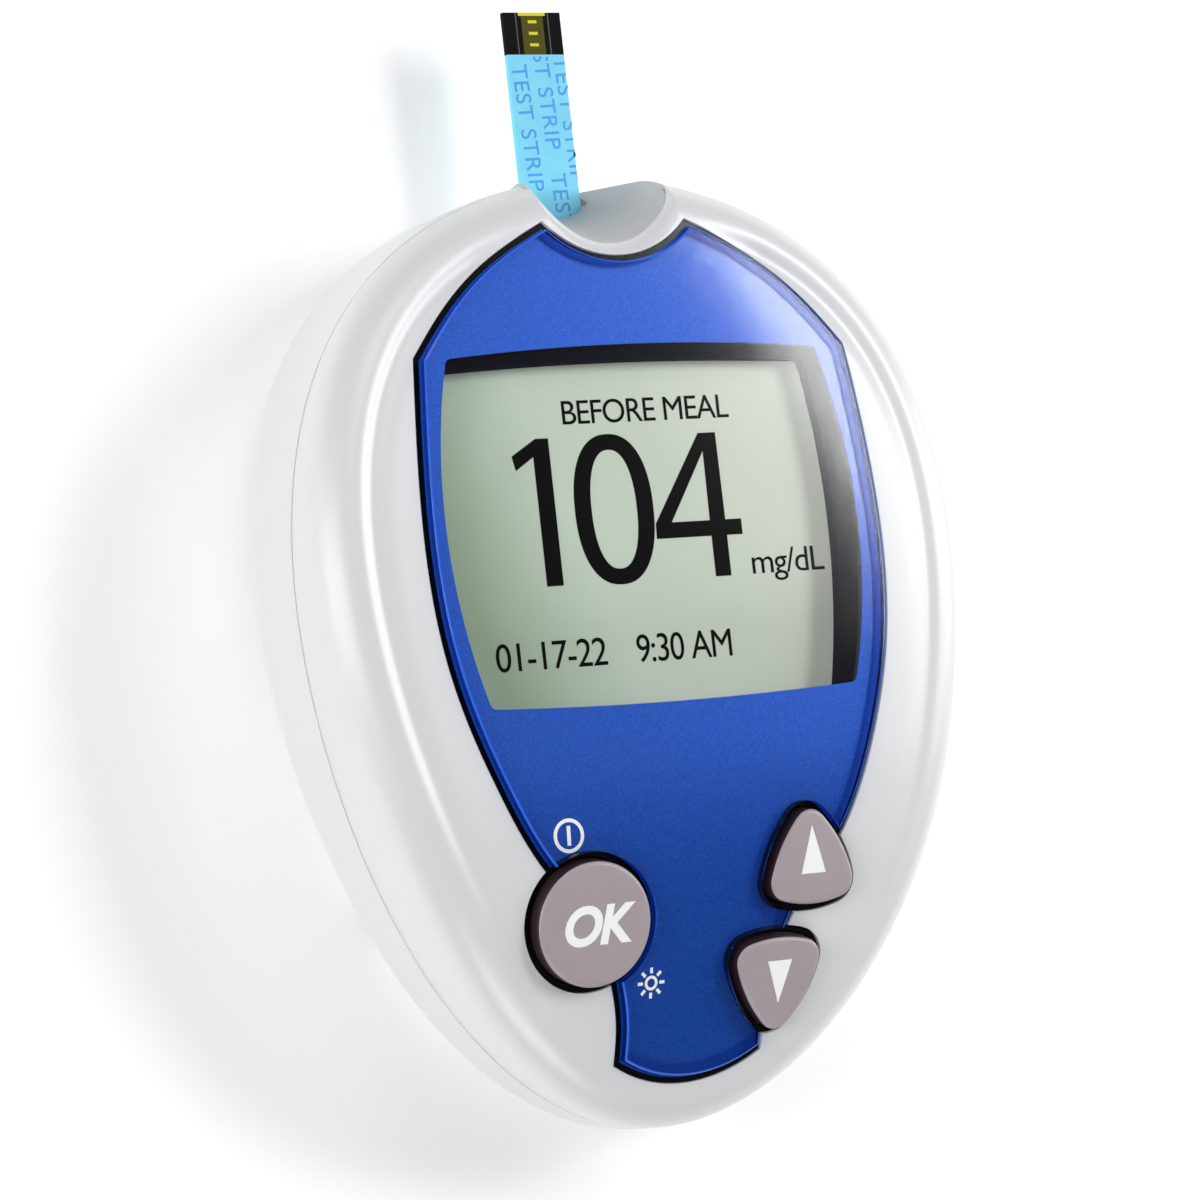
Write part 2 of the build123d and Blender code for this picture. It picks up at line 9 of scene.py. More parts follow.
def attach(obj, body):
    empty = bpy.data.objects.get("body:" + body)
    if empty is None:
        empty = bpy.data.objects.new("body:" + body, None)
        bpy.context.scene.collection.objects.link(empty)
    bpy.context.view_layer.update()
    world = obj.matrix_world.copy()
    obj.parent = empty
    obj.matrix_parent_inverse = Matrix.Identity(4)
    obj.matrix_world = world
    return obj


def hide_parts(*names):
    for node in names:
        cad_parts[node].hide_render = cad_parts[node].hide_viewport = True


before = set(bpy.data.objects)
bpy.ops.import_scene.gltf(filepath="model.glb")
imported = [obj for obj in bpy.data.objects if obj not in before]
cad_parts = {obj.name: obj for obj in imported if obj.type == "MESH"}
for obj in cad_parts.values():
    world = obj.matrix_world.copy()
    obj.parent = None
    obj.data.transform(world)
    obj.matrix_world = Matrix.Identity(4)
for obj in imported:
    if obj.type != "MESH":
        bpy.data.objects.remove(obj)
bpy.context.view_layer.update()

bl_info = {
    "name": "Blood glucose meter",
    "version": (1, 0, 0),
    "blender": (4, 5, 0),
    "location": "View3D > Sidebar > Meter",
    "description": "Dresses a hand-held blood glucose meter: casing, faceplate, display, buttons and strip",
    "category": "Object",
}

MM = 0.001
BODY = "meter"
POINT = 1e-6    # share to which a ring shrinks at a form's middle
SLICED, SLICE = 36, 1.5
ROUND_ANGLE, SHEET_ANGLE = 35, 12

# Sizes below are millimetres, in the model's own frame: +Y towards the strip, +Z out of the display.
HALF_LENGTH, HALF_WIDTH = 39.7, 30.25
EGG_SKEW, EGG_BULGE, EGG_TIP = 0.186, 0.087, 0.015
CREST, CREST_Y, LOWER_SWEEP, UPPER_SWEEP = 21.6, -9.3, 62.0, 484.0
WALL, RIM_DROP, FRONT_ROUND, BACK_ROUND = 1.6, 0.8, 4.0, 7.5
PARTING, PARTING_SLOPE, PARTING_GAP = 13.0, 0.078, 0.15
FLOOR_TOP, FLOOR_BOTTOM = 2.0, 3.0
TRAY_TOP, TRAY_BOTTOM, TRAY_EDGE = 1.05, 1.95, 0.6
LENS, FILM_BOTTOM = 0.85, 1.0
PRINT, PRINT_LIFT = 0.03, 0.004
POWER_SIGN, LIGHT_SIGN = (-11.44, -15.12), (-3.98, -27.65)
STRIP_HALF, STRIP_CONTACTS = 2.72, 51.55
RING, SIDE_GAP, PROUD = 0.65, 0.15, 0.42
OK_RADIUS = 5.2
ARROW_WIDTH, ARROW_HEIGHT, ARROW_CORNER, ARROW_BOW = 8.0, 7.6, 1.6, 0.35
GLASS_TOP, STRIP_TOP = 16.65, 8.55
DOOR_HALF, DOOR_THICK, RAIL, RAIL_THICK, DOOR_GAP, DOOR_END = 12.0, 1.3, 1.2, 0.65, 0.12, 16.3
BAY_HALF, BAY_LOW, BAY_HIGH, BAY_WALL = 11.15, -32.6, 15.3, 1.0
BOARD_UNDERSIDE = 12.3
DOOR_SEAT_HALF, DOOR_SEAT_LOW, DOOR_SEAT_TOP = 14.2, -36.0, 2.4
GRIP_HALF, GRIP_LOW, GRIP_PITCH, GRIP_WIDTH, GRIP_DEPTH, GRIPS = 6, -28.0, 1.5, 0.8, 0.35, 6
SCREWS = ((15.5, 30.2), (-15.5, 30.2), (18.6, -19.5), (-18.6, -19.5))
VALLEY = 0.33
SCOOP_LIP, LIP_GROWTH, SCOOP_SPREAD, SCOOP_SIDES = 0.92, 1.5, 0.12, 144
PORT_WALL, PORT_GAP, PORT_DROP = 0.35, 0.05, 0.08
SCREW_SEAT, SCREW_HEAD, SCREW_HEAD_RADIUS, SCREW_RADIUS = 4.0, 1.4, 1.9, 1.0
SCREW_GAP, BOSS_RADIUS = 0.15, 2.7
CAP_BOTTOM, CAP_ROUND, CROWN = -3.4, 0.38, 0.1
JACK_Y, JACK_Z, JACK_RADIUS = 6.0, 9.7, 2.6
SLIVER = 0.0005
NUDGES = ((0, 0, 0), (0.003, 0.002, 0), (-0.006, 0.001, 0),
          (0.002, -0.006, 0), (0.004, 0.007, 0), (-0.001, -0.009, 0))
BUTTONS = {"ok_button": (-9.9, -22.4, 0), "up_button": (10.7, -18.5, 0), "down_button": (7.5, -28.9, 180)}


# ---- working in the viewport's way ----
def deselect():
    if bpy.context.object and bpy.context.object.mode != "OBJECT":
        bpy.ops.object.mode_set(mode="OBJECT")
    bpy.ops.object.select_all(action="DESELECT")


def activate(piece):
    deselect()
    piece.select_set(True)
    bpy.context.view_layer.objects.active = piece


def edit(piece):
    """Edit mode with the whole piece selected."""
    activate(piece)
    bpy.ops.object.mode_set(mode="EDIT")
    bpy.ops.mesh.select_all(action="SELECT")


def leave():
    bpy.ops.object.mode_set(mode="OBJECT")


def points_of(piece):
    """The piece's vertices as an array, in millimetres."""
    flat = np.empty(len(piece.data.vertices) * 3)
    piece.data.vertices.foreach_get("co", flat)
    return flat.reshape(-1, 3) / MM


def place_points(piece, points):
    piece.data.vertices.foreach_set("co", (np.asarray(points) * MM).astype(np.float32).ravel())
    piece.data.update()


def smooth(piece, angle=30):
    activate(piece)
    bpy.ops.object.shade_smooth_by_angle(angle=math.radians(angle))


def closed(piece):
    """Whether each edge of the piece lies between exactly two faces."""
    edges = np.empty(len(piece.data.loops), int)
    piece.data.loops.foreach_get("edge_index", edges)
    return bool((np.bincount(edges, minlength=len(piece.data.edges)) == 2).all())


def cut(piece, *cutters, operation="DIFFERENCE"):
    """Booleans of closed pieces, one after the other; the cutters are used up.

    Where a result is open, the cutter is nudged by a few thousandths of a millimetre and cuts again."""
    for cutter in cutters:
        uncut = piece.data.copy()
        for nudge in NUDGES:
            place_points(cutter, points_of(cutter) + nudge)
            activate(piece)
            modifier = piece.modifiers.new("cut", "BOOLEAN")
            modifier.operation = operation
            modifier.solver = "EXACT"
            modifier.object = cutter
            bpy.ops.object.modifier_apply(modifier=modifier.name)
            edit(piece)
            bpy.ops.mesh.remove_doubles(threshold=SLIVER * MM)
            leave()
            if closed(piece):
                break
            piece.data = uncut.copy()
        else:
            raise RuntimeError(f"{piece.name} stays open after {cutter.name}")
        bpy.data.objects.remove(cutter)
    return piece


def copy_of(piece, name):
    twin = piece.copy()
    twin.data = piece.data.copy()
    twin.name = name
    bpy.context.scene.collection.objects.link(twin)
    return twin


def ring_stack(name, rings, fans=False):
    """A circle extruded ring by ring, each ring then moved to its place on the form.

    The two ends are flat faces, or fans of triangles."""
    table = np.stack([np.asarray(ring, float) for ring in rings])
    count = table.shape[1]
    deselect()
    bpy.ops.mesh.primitive_circle_add(vertices=count, radius=1.0)
    piece = bpy.context.object
    piece.name = piece.data.name = name
    bpy.ops.object.mode_set(mode="EDIT")
    bpy.ops.mesh.select_all(action="SELECT")
    for _ in rings[1:]:
        bpy.ops.mesh.extrude_region_move(TRANSFORM_OT_translate={"value": (0, 0, 1)})
    leave()
    unit = points_of(piece) * MM
    level = np.rint(unit[:, 2]).astype(int)
    step = np.rint(np.arctan2(unit[:, 1], unit[:, 0]) / (2 * math.pi) * count).astype(int) % count
    for end in (0, len(rings) - 1):
        select_where(piece, lambda points: np.abs(points[:, 2] * MM - end) < 0.1)
        bpy.ops.mesh.edge_face_add()
        if fans:
            bpy.ops.mesh.poke()
        leave()
    if fans:
        table = np.concatenate([table, table.mean(1, keepdims=True).repeat(count, 1)])
        centres = len(piece.data.vertices) - len(level)
        level, step = np.append(level, [-1] * centres), np.append(step, [0] * centres)
    places = table[level, step]
    if fans:
        places[-2], places[-1] = table[0].mean(0), table[len(rings) - 1].mean(0)
    place_points(piece, places)
    edit(piece)
    bpy.ops.mesh.remove_doubles(threshold=SLIVER * MM)
    bpy.ops.mesh.dissolve_degenerate(threshold=SLIVER * MM)
    bpy.ops.mesh.normals_make_consistent(inside=False)
    leave()
    return piece


def select_where(piece, test):
    """Edit mode with only the vertices selected whose places pass the test."""
    edit(piece)
    bpy.ops.mesh.select_mode(type="VERT")
    bpy.ops.mesh.select_all(action="DESELECT")
    leave()
    piece.data.vertices.foreach_set("select", np.asarray(test(points_of(piece)), bool))
    bpy.ops.object.mode_set(mode="EDIT")


def box(name, low, high):
    deselect()
    bpy.ops.mesh.primitive_cube_add(size=1.0)
    piece = bpy.context.object
    piece.name = piece.data.name = name
    low, high = np.asarray(low, float), np.asarray(high, float)
    place_points(piece, (low + high) / 2 + points_of(piece) * MM * (high - low))
    return piece


def rod(name, start, end, radius, sides=48):
    """Cylinder between two points."""
    start, end = Vector(start), Vector(end)
    deselect()
    bpy.ops.mesh.primitive_cylinder_add(vertices=sides, radius=1.0, depth=1.0)
    piece = bpy.context.object
    piece.name = piece.data.name = name
    turn = (end - start).to_track_quat("Z", "Y").to_matrix()
    local = points_of(piece) * MM * np.array([radius, radius, (end - start).length])
    place_points(piece, local @ np.array(turn).T + np.array((start + end) / 2))
    return piece


# ---- the meter's own curves ----
def face_arc(y):
    """Radius of the face's lengthwise arc at y, and the height above that arc's centre."""
    sweep = np.where(y < CREST_Y, LOWER_SWEEP, UPPER_SWEEP)
    return sweep, np.sqrt(sweep**2 - (y - CREST_Y) ** 2)


def face_height(y):
    """Height of the arched face above the back."""
    sweep, rise = face_arc(np.asarray(y, float))
    return CREST - sweep + rise


def face_slope(y):
    return -(y - CREST_Y) / face_arc(y)[1]


def rim_height(y):
    """Height of the sunken face inside the rim."""
    return face_height(y) - RIM_DROP


def parting_height(y):
    """Height of the tilted plane where the two housings meet."""
    return PARTING + PARTING_SLOPE * np.asarray(y, float)


def lift(piece, way=1):
    """Bends a piece made on a flat face up to the arched face, or with way -1 back to the flat one."""
    points = points_of(piece)
    points[:, 2] += way * face_height(points[:, 1])
    place_points(piece, points)
    return piece


def slice_across(piece):
    """Cuts rows of vertices across a flat piece, so that it can bend."""
    edit(piece)
    for y in np.arange(-SLICED, SLICED, SLICE):
        bpy.ops.mesh.select_all(action="SELECT")
        bpy.ops.mesh.bisect(plane_co=(0, y * MM, 0), plane_no=(0, 1, 0))
    leave()
    return piece


def egg_angles(count):
    """Angles round the outline, closer together at the strip and button ends."""
    angles = 2 * math.pi * np.arange(count) / count
    return angles - 0.17 * np.sin(2 * (angles - math.pi / 2))


def egg_radius(angles):
    s = np.sin(angles)
    return np.cos(angles) * (1 + EGG_SKEW * s + EGG_BULGE * s**2 + EGG_TIP * s**3)


EGG_WIDEST = float(egg_radius(np.linspace(-math.pi, math.pi, 2001)).max())


def egg(angles, inset=0.0):
    """Outline of the casing moved inwards along its normal, as x and y, and the normal."""
    def place(a):
        return np.stack([HALF_WIDTH * egg_radius(a) / EGG_WIDEST, HALF_LENGTH * np.sin(a)], 1)

    along = place(angles + 1e-4) - place(angles - 1e-4)
    along /= np.linalg.norm(along, axis=1)[:, None]
    normal = np.stack([along[:, 1], -along[:, 0]], 1)
    return place(angles) - normal * np.asarray(inset)[..., None], normal


def inside(angles, inset):
    """Outline of the casing moved inwards, as x and y alone."""
    return egg(angles, inset)[0]


def with_height(points, height):
    """Points given as x and y with a height, which may be a number, one per point or a function of y."""
    if callable(height):
        height = height(points[:, 1])
    return np.column_stack([points, np.broadcast_to(height, len(points))])


def shrunk(outline, shares, height, middle=0.0):
    """Rings that draw an outline in towards its middle."""
    return [with_height(middle + (outline - middle) * share, height) for share in shares]


def bent_in(height, centre):
    """How far the front's rounding leaves the wall at a height above the rounding's centre."""
    return np.arcsin(np.clip((height - centre) / FRONT_ROUND, 0, 1))


def spline_through(points, count):
    """Natural cubic spline through the points, sampled evenly."""
    points = np.asarray(points, float)
    knots = np.concatenate([[0], np.cumsum(np.linalg.norm(np.diff(points, axis=0), axis=1))])
    spans = np.diff(knots)
    size = len(points)
    matrix, right = np.eye(size), np.zeros((size, 2))
    for k in range(1, size - 1):
        matrix[k, k - 1:k + 2] = spans[k - 1], 2 * (spans[k - 1] + spans[k]), spans[k]
        right[k] = 6 * ((points[k + 1] - points[k]) / spans[k] - (points[k] - points[k - 1]) / spans[k - 1])
    bend = np.linalg.solve(matrix, right)
    where = np.linspace(0, knots[-1], count)
    k = np.clip(np.searchsorted(knots, where, side="right") - 1, 0, size - 2)
    span, a, b = spans[k][:, None], (knots[k + 1] - where)[:, None], (where - knots[k])[:, None]
    curved = (bend[k] * a**3 + bend[k + 1] * b**3) / (6 * span)
    return (curved + (points[k] / span - bend[k] * span / 6) * a
            + (points[k + 1] / span - bend[k + 1] * span / 6) * b)


def arc_through(first, middle, last, count):
    """Points on the circle's arc that runs through three places."""
    (ax, ay), (bx, by), (cx, cy) = first, middle, last
    d = 2 * (ax * (by - cy) + bx * (cy - ay) + cx * (ay - by))
    a2, b2, c2 = ax**2 + ay**2, bx**2 + by**2, cx**2 + cy**2
    centre = np.array([(a2 * (by - cy) + b2 * (cy - ay) + c2 * (ay - by)) / d,
                       (a2 * (cx - bx) + b2 * (ax - cx) + c2 * (bx - ax)) / d])
    start, mid, end = [math.atan2(p[1] - centre[1], p[0] - centre[0]) for p in (first, middle, last)]
    turn = (end - start) % (2 * math.pi)
    if (mid - start) % (2 * math.pi) > turn:
        turn -= 2 * math.pi
    angles = start + turn * np.linspace(0, 1, count)
    radius = math.hypot(ax - centre[0], ay - centre[1])
    return centre + radius * np.stack([np.cos(angles), np.sin(angles)], 1)


def grown(outline, margin):
    """A closed outline, given anticlockwise, moved outwards by a margin."""
    along = np.roll(outline, -1, 0) - outline
    along /= np.linalg.norm(along, axis=1)[:, None]
    out = np.stack([along[:, 1], -along[:, 0]], 1)
    corner = out + np.roll(out, 1, 0)
    corner /= np.linalg.norm(corner, axis=1)[:, None]
    return outline + margin * corner / np.clip((corner * out).sum(1), 0.35, 1)[:, None]


def mirrored(points):
    return np.asarray(points, float)[::-1] * (-1, 1)


def faceplate_outline():
    """Shield outline of the faceplate, with the scoop's notch at its upper end."""
    upper = spline_through([(6.9, 34.7), (12.0, 31.9), (16.4, 28.2), (19.8, 24.1)], 22)
    side = spline_through([(19.8, 24.1), (20.9, 10.0), (20.1, -0.8), (16.9, -10.8), (13.4, -17.2),
                           (9.2, -22.4), (7.2, -27.0), (6.4, -31.0), (6.35, -33.7)], 72)
    tongue = arc_through((6.35, -33.7), (0, -35.5), (-6.35, -33.7), 22)
    notch = arc_through((-6.9, 34.7), (0, 31.85), (6.9, 34.7), 28)
    return chained([upper, side, tongue, mirrored(side), mirrored(upper), notch])[::-1]


def chained(runs):
    """One closed outline of runs that each start where the last one ends."""
    return np.concatenate([run[:-1] for run in runs])


def window_outline():
    """Display window: four bowed sides with rounded corners."""
    (xt, yt), (xs, ys), (xb, yb), corner = (17.45, 24.2), (19.45, 10.1), (17.25, -4.5), 0.6
    outline = chained([arc_through((xt, yt), (0, yt + 0.75), (-xt, yt), 30),
                       arc_through((-xt, yt), (-xs, ys), (-xb, yb), 36),
                       arc_through((-xb, yb), (0, yb - 0.45), (xb, yb), 30),
                       arc_through((xb, yb), (xs, ys), (xt, yt), 36)])
    return rounded(grown(outline, -corner), corner)


def rounded(outline, radius):
    """A closed outline grown by a radius, with arcs at its sharp corners."""
    before = outline - np.roll(outline, 1, 0)
    after = np.roll(outline, -1, 0) - outline
    result = []
    for point, a, b in zip(outline, before, after):
        first = math.atan2(-a[0], a[1])
        second = math.atan2(-b[0], b[1])
        turn = (second - first + math.pi) % (2 * math.pi) - math.pi
        steps = max(1, int(turn / math.radians(15)))
        bends = [turn * k / steps for k in range(steps + 1)] if steps > 1 else [turn / 2]
        for angle in [first + bend for bend in bends]:
            result.append(point + radius * np.array([math.cos(angle), math.sin(angle)]))
    return np.array(result)


def even(outline, count):
    """A closed outline with a given number of evenly spaced points."""
    loop = np.vstack([outline, outline[:1]])
    along = np.concatenate([[0], np.cumsum(np.linalg.norm(np.diff(loop, axis=0), axis=1))])
    where = np.linspace(0, along[-1], count, endpoint=False)
    return np.stack([np.interp(where, along, loop[:, k]) for k in (0, 1)], 1)


def button_outline(name, extra=0.0):
    """A circle for the round button, else a triangle with bowed sides and round corners."""
    if name == "ok_button":
        angles = np.linspace(0, 2 * math.pi, 96, endpoint=False)
        return (OK_RADIUS + extra) * np.stack([np.cos(angles), np.sin(angles)], 1)
    half, top = ARROW_WIDTH / 2 - ARROW_CORNER, ARROW_HEIGHT / 2 - ARROW_CORNER
    sides = [arc_through((-half, -top), (0, -top - ARROW_BOW), (half, -top), 16),
             arc_through((half, -top), (half / 2 + ARROW_BOW, 0), (0, top), 16),
             arc_through((0, top), (-half / 2 - ARROW_BOW, 0), (-half, -top), 16)]
    outline = rounded(chained(sides), ARROW_CORNER)
    outline = grown(even(outline, 96), extra)
    return -outline if BUTTONS[name][2] else outline


def on_button(name, local):
    """Points given as right, up and out of a button's own plane, in the model's frame."""
    x, y, _ = BUTTONS[name]
    lean = math.asin((y - CREST_Y) / LOWER_SWEEP)
    right, out = np.array([1, 0, 0]), np.array([0, math.sin(lean), math.cos(lean)])
    up = np.array([0, math.cos(lean), -math.sin(lean)])
    origin = np.array([x, y, float(face_height(y))])
    return origin + np.asarray(local) @ np.stack([right, up, out])


def button_stack(label, name, levels):
    """Rings of a button's outline, each grown by the first value at the second value's height."""
    rings = [with_height(button_outline(name, extra), height) for extra, height in levels]
    return ring_stack(label, [on_button(name, ring) for ring in rings], fans=True)


def button_cutters(label, extra, low, high):
    """Straight cutters round the buttons, made for the flat face."""
    return [lift(button_stack(label, name, [(extra, low), (extra, high)]), -1) for name in BUTTONS]


def scoop_ring(height, extra=0.0):
    """Ring of the finger scoop's slanted cone at a height above the back, or at one height per point."""
    share = (np.asarray(height, float) - 8.3) / 10.0
    radius, centre = 3.6 + share * 2.9 + extra, 41.3 - share * 1.3
    angles = np.linspace(0, 2 * math.pi, SCOOP_SIDES, endpoint=False)
    x, y = radius * np.cos(angles), centre + radius * np.sin(angles)
    spread = 1 + SCOOP_SPREAD * np.clip((y - 35) / 4, 0, 1)
    return with_height(np.stack([x * spread, y], 1), height)


def scoop_level(level, extra=0.0):
    """Ring of the scoop where its cone lies this far above the arched face, on the flat face."""
    ring = scoop_ring(18.3, extra)
    for _ in range(4):
        ring = scoop_ring(face_height(np.minimum(ring[:, 1], HALF_LENGTH)) + level, extra)
    ring[:, 2] = level
    return ring


# ---- finishes ----
class Finish:
    """A node material under construction, with short calls for its usual nodes."""

    def __init__(self, name, colour, rough, metallic=0.0, coat=0.0, coat_rough=0.1, specular=0.5):
        self.material = bpy.data.materials.new(name)
        self.material.use_nodes = True
        self.nodes, self.links = self.material.node_tree.nodes, self.material.node_tree.links
        self.shader = self.nodes["Principled BSDF"]
        self.output = self.nodes["Material Output"]
        for socket, value in (("Base Color", (*colour, 1.0)), ("Roughness", rough),
                              ("Metallic", metallic), ("Coat Weight", coat),
                              ("Coat Roughness", coat_rough), ("Specular IOR Level", specular)):
            self.shader.inputs[socket].default_value = value
        self.place = self.nodes.new("ShaderNodeTexCoord").outputs["Object"]

    def link(self, source, target):
        self.links.new(source, target)

    def noise(self, size, detail=2.0, rough=0.5):
        """Noise whose grains are about size millimetres."""
        node = self.nodes.new("ShaderNodeTexNoise")
        node.inputs["Scale"].default_value = 1.0 / (size * MM)
        node.inputs["Detail"].default_value = detail
        node.inputs["Roughness"].default_value = rough
        self.link(self.place, node.inputs["Vector"])
        return node.outputs["Fac"]

    def flakes(self, size):
        node = self.nodes.new("ShaderNodeTexVoronoi")
        node.inputs["Scale"].default_value = 1.0 / (size * MM)
        self.link(self.place, node.inputs["Vector"])
        return node.outputs["Color"]

    def ramp(self, value, stops):
        node = self.nodes.new("ShaderNodeValToRGB")
        elements = node.color_ramp.elements
        while len(elements) < len(stops):
            elements.new(0.5)
        for element, (where, colour) in zip(elements, stops):
            element.position = where
            element.color = (*colour, 1.0)
        self.link(value, node.inputs["Fac"])
        return node.outputs["Color"]

    def cloud(self, colour, spread, size, detail=2.0, rough=0.5, low=0.3):
        """The colour, made darker and lighter by a share, in a noise of about size millimetres."""
        return self.ramp(self.noise(size, detail, rough),
                         [(low, shade(colour, 1 - spread)), (1 - low, shade(colour, 1 + spread))])

    def feed(self, socket, value):
        """Gives a socket a number, a colour or the output of another node."""
        if isinstance(value, (int, float)):
            socket.default_value = value
        elif isinstance(value, tuple):
            socket.default_value = (*value, 1.0)
        else:
            self.link(value, socket)

    def maths(self, operation, first, second=0.0, third=0.0):
        node = self.nodes.new("ShaderNodeMath")
        node.operation = operation
        for socket, value in zip(node.inputs, (first, second, third)):
            self.feed(socket, value)
        return node.outputs["Value"]

    def times(self, first, second):
        return self.maths("MULTIPLY", first, second)

    def over(self, value, limit):
        return self.maths("GREATER_THAN", value, limit)

    def under(self, value, limit):
        return self.maths("LESS_THAN", value, limit)

    def between(self, value, low, high):
        return self.times(self.over(value, low), self.under(value, high))

    def mix(self, share, first, second):
        node = self.nodes.new("ShaderNodeMix")
        node.data_type = "RGBA"
        for key, value in (("Factor_Float", share), ("A_Color", first), ("B_Color", second)):
            self.feed(next(s for s in node.inputs if s.identifier == key), value)
        return next(s for s in node.outputs if s.identifier == "Result_Color")

    def blend(self, share, first, second):
        """The material becomes a mix of two shaders."""
        node = self.nodes.new("ShaderNodeMixShader")
        self.feed(node.inputs[0], share)
        self.link(first.outputs[0], node.inputs[1])
        self.link(second.outputs[0], node.inputs[2])
        self.link(node.outputs[0], self.output.inputs["Surface"])

    def split(self):
        """X and Y of the place, in millimetres."""
        node = self.nodes.new("ShaderNodeSeparateXYZ")
        self.link(self.place, node.inputs[0])
        return [self.times(node.outputs[k], 1 / MM) for k in range(2)]

    def paint(self, colour):
        self.link(colour, self.shader.inputs["Base Color"])

    def vary_rough(self, value, low, high):
        node = self.nodes.new("ShaderNodeMapRange")
        node.inputs["To Min"].default_value = low
        node.inputs["To Max"].default_value = high
        self.link(value, node.inputs["Value"])
        self.link(node.outputs["Result"], self.shader.inputs["Roughness"])

    def glow(self, colour, strength):
        self.feed(self.shader.inputs["Emission Color"], colour)
        self.shader.inputs["Emission Strength"].default_value = strength

    def bump(self, value, depth, shader=None):
        """Relief of about depth millimetres."""
        node = self.nodes.new("ShaderNodeBump")
        node.inputs["Strength"].default_value = 1.0
        node.inputs["Distance"].default_value = depth * MM
        self.link(value, node.inputs["Height"])
        self.link(node.outputs["Normal"], (shader or self.shader).inputs["Normal"])


def shade(colour, share):
    return tuple(min(1.0, channel * share) for channel in colour)


def plain_finish(name, colour, rough, grain=0.3, depth=0.004, spread=0.06, **more):
    """Moulded or plated surface: slight mottling of colour and roughness and a fine grain."""
    made = Finish(name, colour, rough, **more)
    made.paint(made.cloud(colour, spread, grain * 12))
    fine = made.noise(grain, 3)
    made.vary_rough(fine, rough * 0.88, rough * 1.12)
    made.bump(fine, depth)
    return made.material


def casing_finish(colour):
    """Silver-white pearl paint: fine bright flakes under a satin coat."""
    made = Finish("casing_pearl", colour, 0.42, coat=0.8, coat_rough=0.3)
    flakes = made.cloud(colour, 0.025, 0.12, 2, 0.6, low=0.35)
    share = made.ramp(made.noise(6.0), [(0.3, (0, 0, 0)), (0.7, (0.5, 0.5, 0.5))])
    made.paint(made.mix(share, flakes, shade(colour, 0.985)))
    made.vary_rough(made.noise(0.5, 3), 0.38, 0.46)
    made.bump(made.noise(0.35), 0.003)
    return made.material


def film_finish(colour):
    """Metallic blue ink: small flakes of lighter and darker blue."""
    made = Finish("faceplate_blue", colour, 0.42, metallic=0.35, specular=0.25)
    flakes = made.ramp(made.flakes(0.13), [(0.1, shade(colour, 0.72)), (0.55, colour),
                                           (0.95, shade(colour, 1.55))])
    fine = made.ramp(made.noise(0.22, 3, 0.7), [(0.35, shade(colour, 0.8)), (0.65, shade(colour, 1.22))])
    made.paint(made.mix(0.5, flakes, fine))
    made.bump(made.noise(0.2), 0.002)
    return made.material


def clear_finish(name, rough):
    """Clear plastic sheet: see-through, with a gloss that grows at low angles."""
    made = Finish(name, (1, 1, 1), rough)
    made.nodes.remove(made.shader)
    through, gloss, edge = [made.nodes.new("ShaderNode" + kind) for kind in
                            ("BsdfTransparent", "BsdfGlossy", "LayerWeight")]
    edge.inputs["Blend"].default_value = 0.5
    gloss.inputs["Roughness"].default_value = rough
    for shader in (gloss, through):
        shader.inputs["Color"].default_value = (1, 1, 1, 1)
    steep = made.maths("POWER", edge.outputs["Facing"], 5.0)
    made.blend(made.maths("MULTIPLY_ADD", steep, 0.6, 0.021), through, gloss)
    made.bump(made.noise(2.5, 1), 0.002, gloss)
    return made.material


def painted_edge_shade_finish(name, tint, colour):
    """Polished edge of a clear sheet: half see-through, half a deep glossy tint that is painted shade,
    standing in for the dark line along a clear edge.
    """
    made = Finish(name, colour, 0.1)
    through = made.nodes.new("ShaderNodeBsdfTransparent")
    through.inputs["Color"].default_value = (*tint, 1)
    made.paint(made.cloud(colour, 0.2, 1.5))
    made.blend(0.45, through, made.shader)
    return made.material


def lcd_finish(colour):
    """Reflective LCD: greenish grey, darker and greener towards the left and the bottom, lighter towards the
    right and the top as painted glare, faintly clouded, with a faint painted glow.
    """
    made = Finish("lcd_glass_painted_glare_and_glow", colour, 0.55, specular=0.3)
    x, y = made.split()
    across, along = made.maths("MULTIPLY_ADD", x, 0.022, 0.42), made.maths("SUBTRACT", y, 9.0)
    sweep = made.maths("ADD", across, made.times(along, 0.008))
    # Painted highlight: the ramp lightens the display towards the right and the top, where a lamp's glare
    # falls, and darkens and greens it towards the left and the bottom.
    tints_and_painted_glare = ((0.03, (0.46, 0.58, 0.47)), (0.30, (1.03, 1.04, 1.085)),
             (0.55, (1.14, 1.08, 1.15)), (0.8, (1.5, 1.35, 1.5)))
    base = made.ramp(sweep, [(where, tuple(np.multiply(colour, tint))) for where, tint in tints_and_painted_glare])
    cloud = made.ramp(made.noise(9.0), [(0.3, shade(colour, 0.9)), (0.7, shade(colour, 1.08))])
    tint = made.mix(0.25, base, cloud)
    made.paint(tint)
    # Painted light: a faint glow of the display's own tint, painted glare included, brightens it.
    made.glow(tint, 0.1)
    made.bump(made.noise(0.15), 0.001)
    return made.material


def strip_finish(colour):
    """Test strip: light blue, and a black contact end with an olive band, yellow marks and grey lines."""
    made = Finish("strip_print", colour, 0.4, specular=0.02)
    x, y = made.split()
    across = made.maths("ABSOLUTE", x)
    end = made.over(y, 51.75)
    dark = made.mix(made.under(across, 1.05), (0.006, 0.006, 0.006), (0.09, 0.085, 0.015))
    wave = made.maths("PINGPONG", made.maths("SUBTRACT", y, 52.6), 0.5)
    dashes = made.times(made.times(made.under(wave, 0.13), made.under(across, 0.42)),
                        made.between(y, 52.2, 54.9))
    bar = made.times(made.over(y, 55.12), made.under(across, 1.3))
    dark = made.mix(made.maths("MAXIMUM", dashes, bar), dark, (0.75, 0.68, 0.04))
    dark = made.mix(made.between(across, 1.5, 1.6), dark, (0.12, 0.12, 0.12))
    made.paint(made.mix(end, made.cloud(colour, 0.04, 1.5), dark))
    made.bump(made.noise(0.3), 0.002)
    return made.material


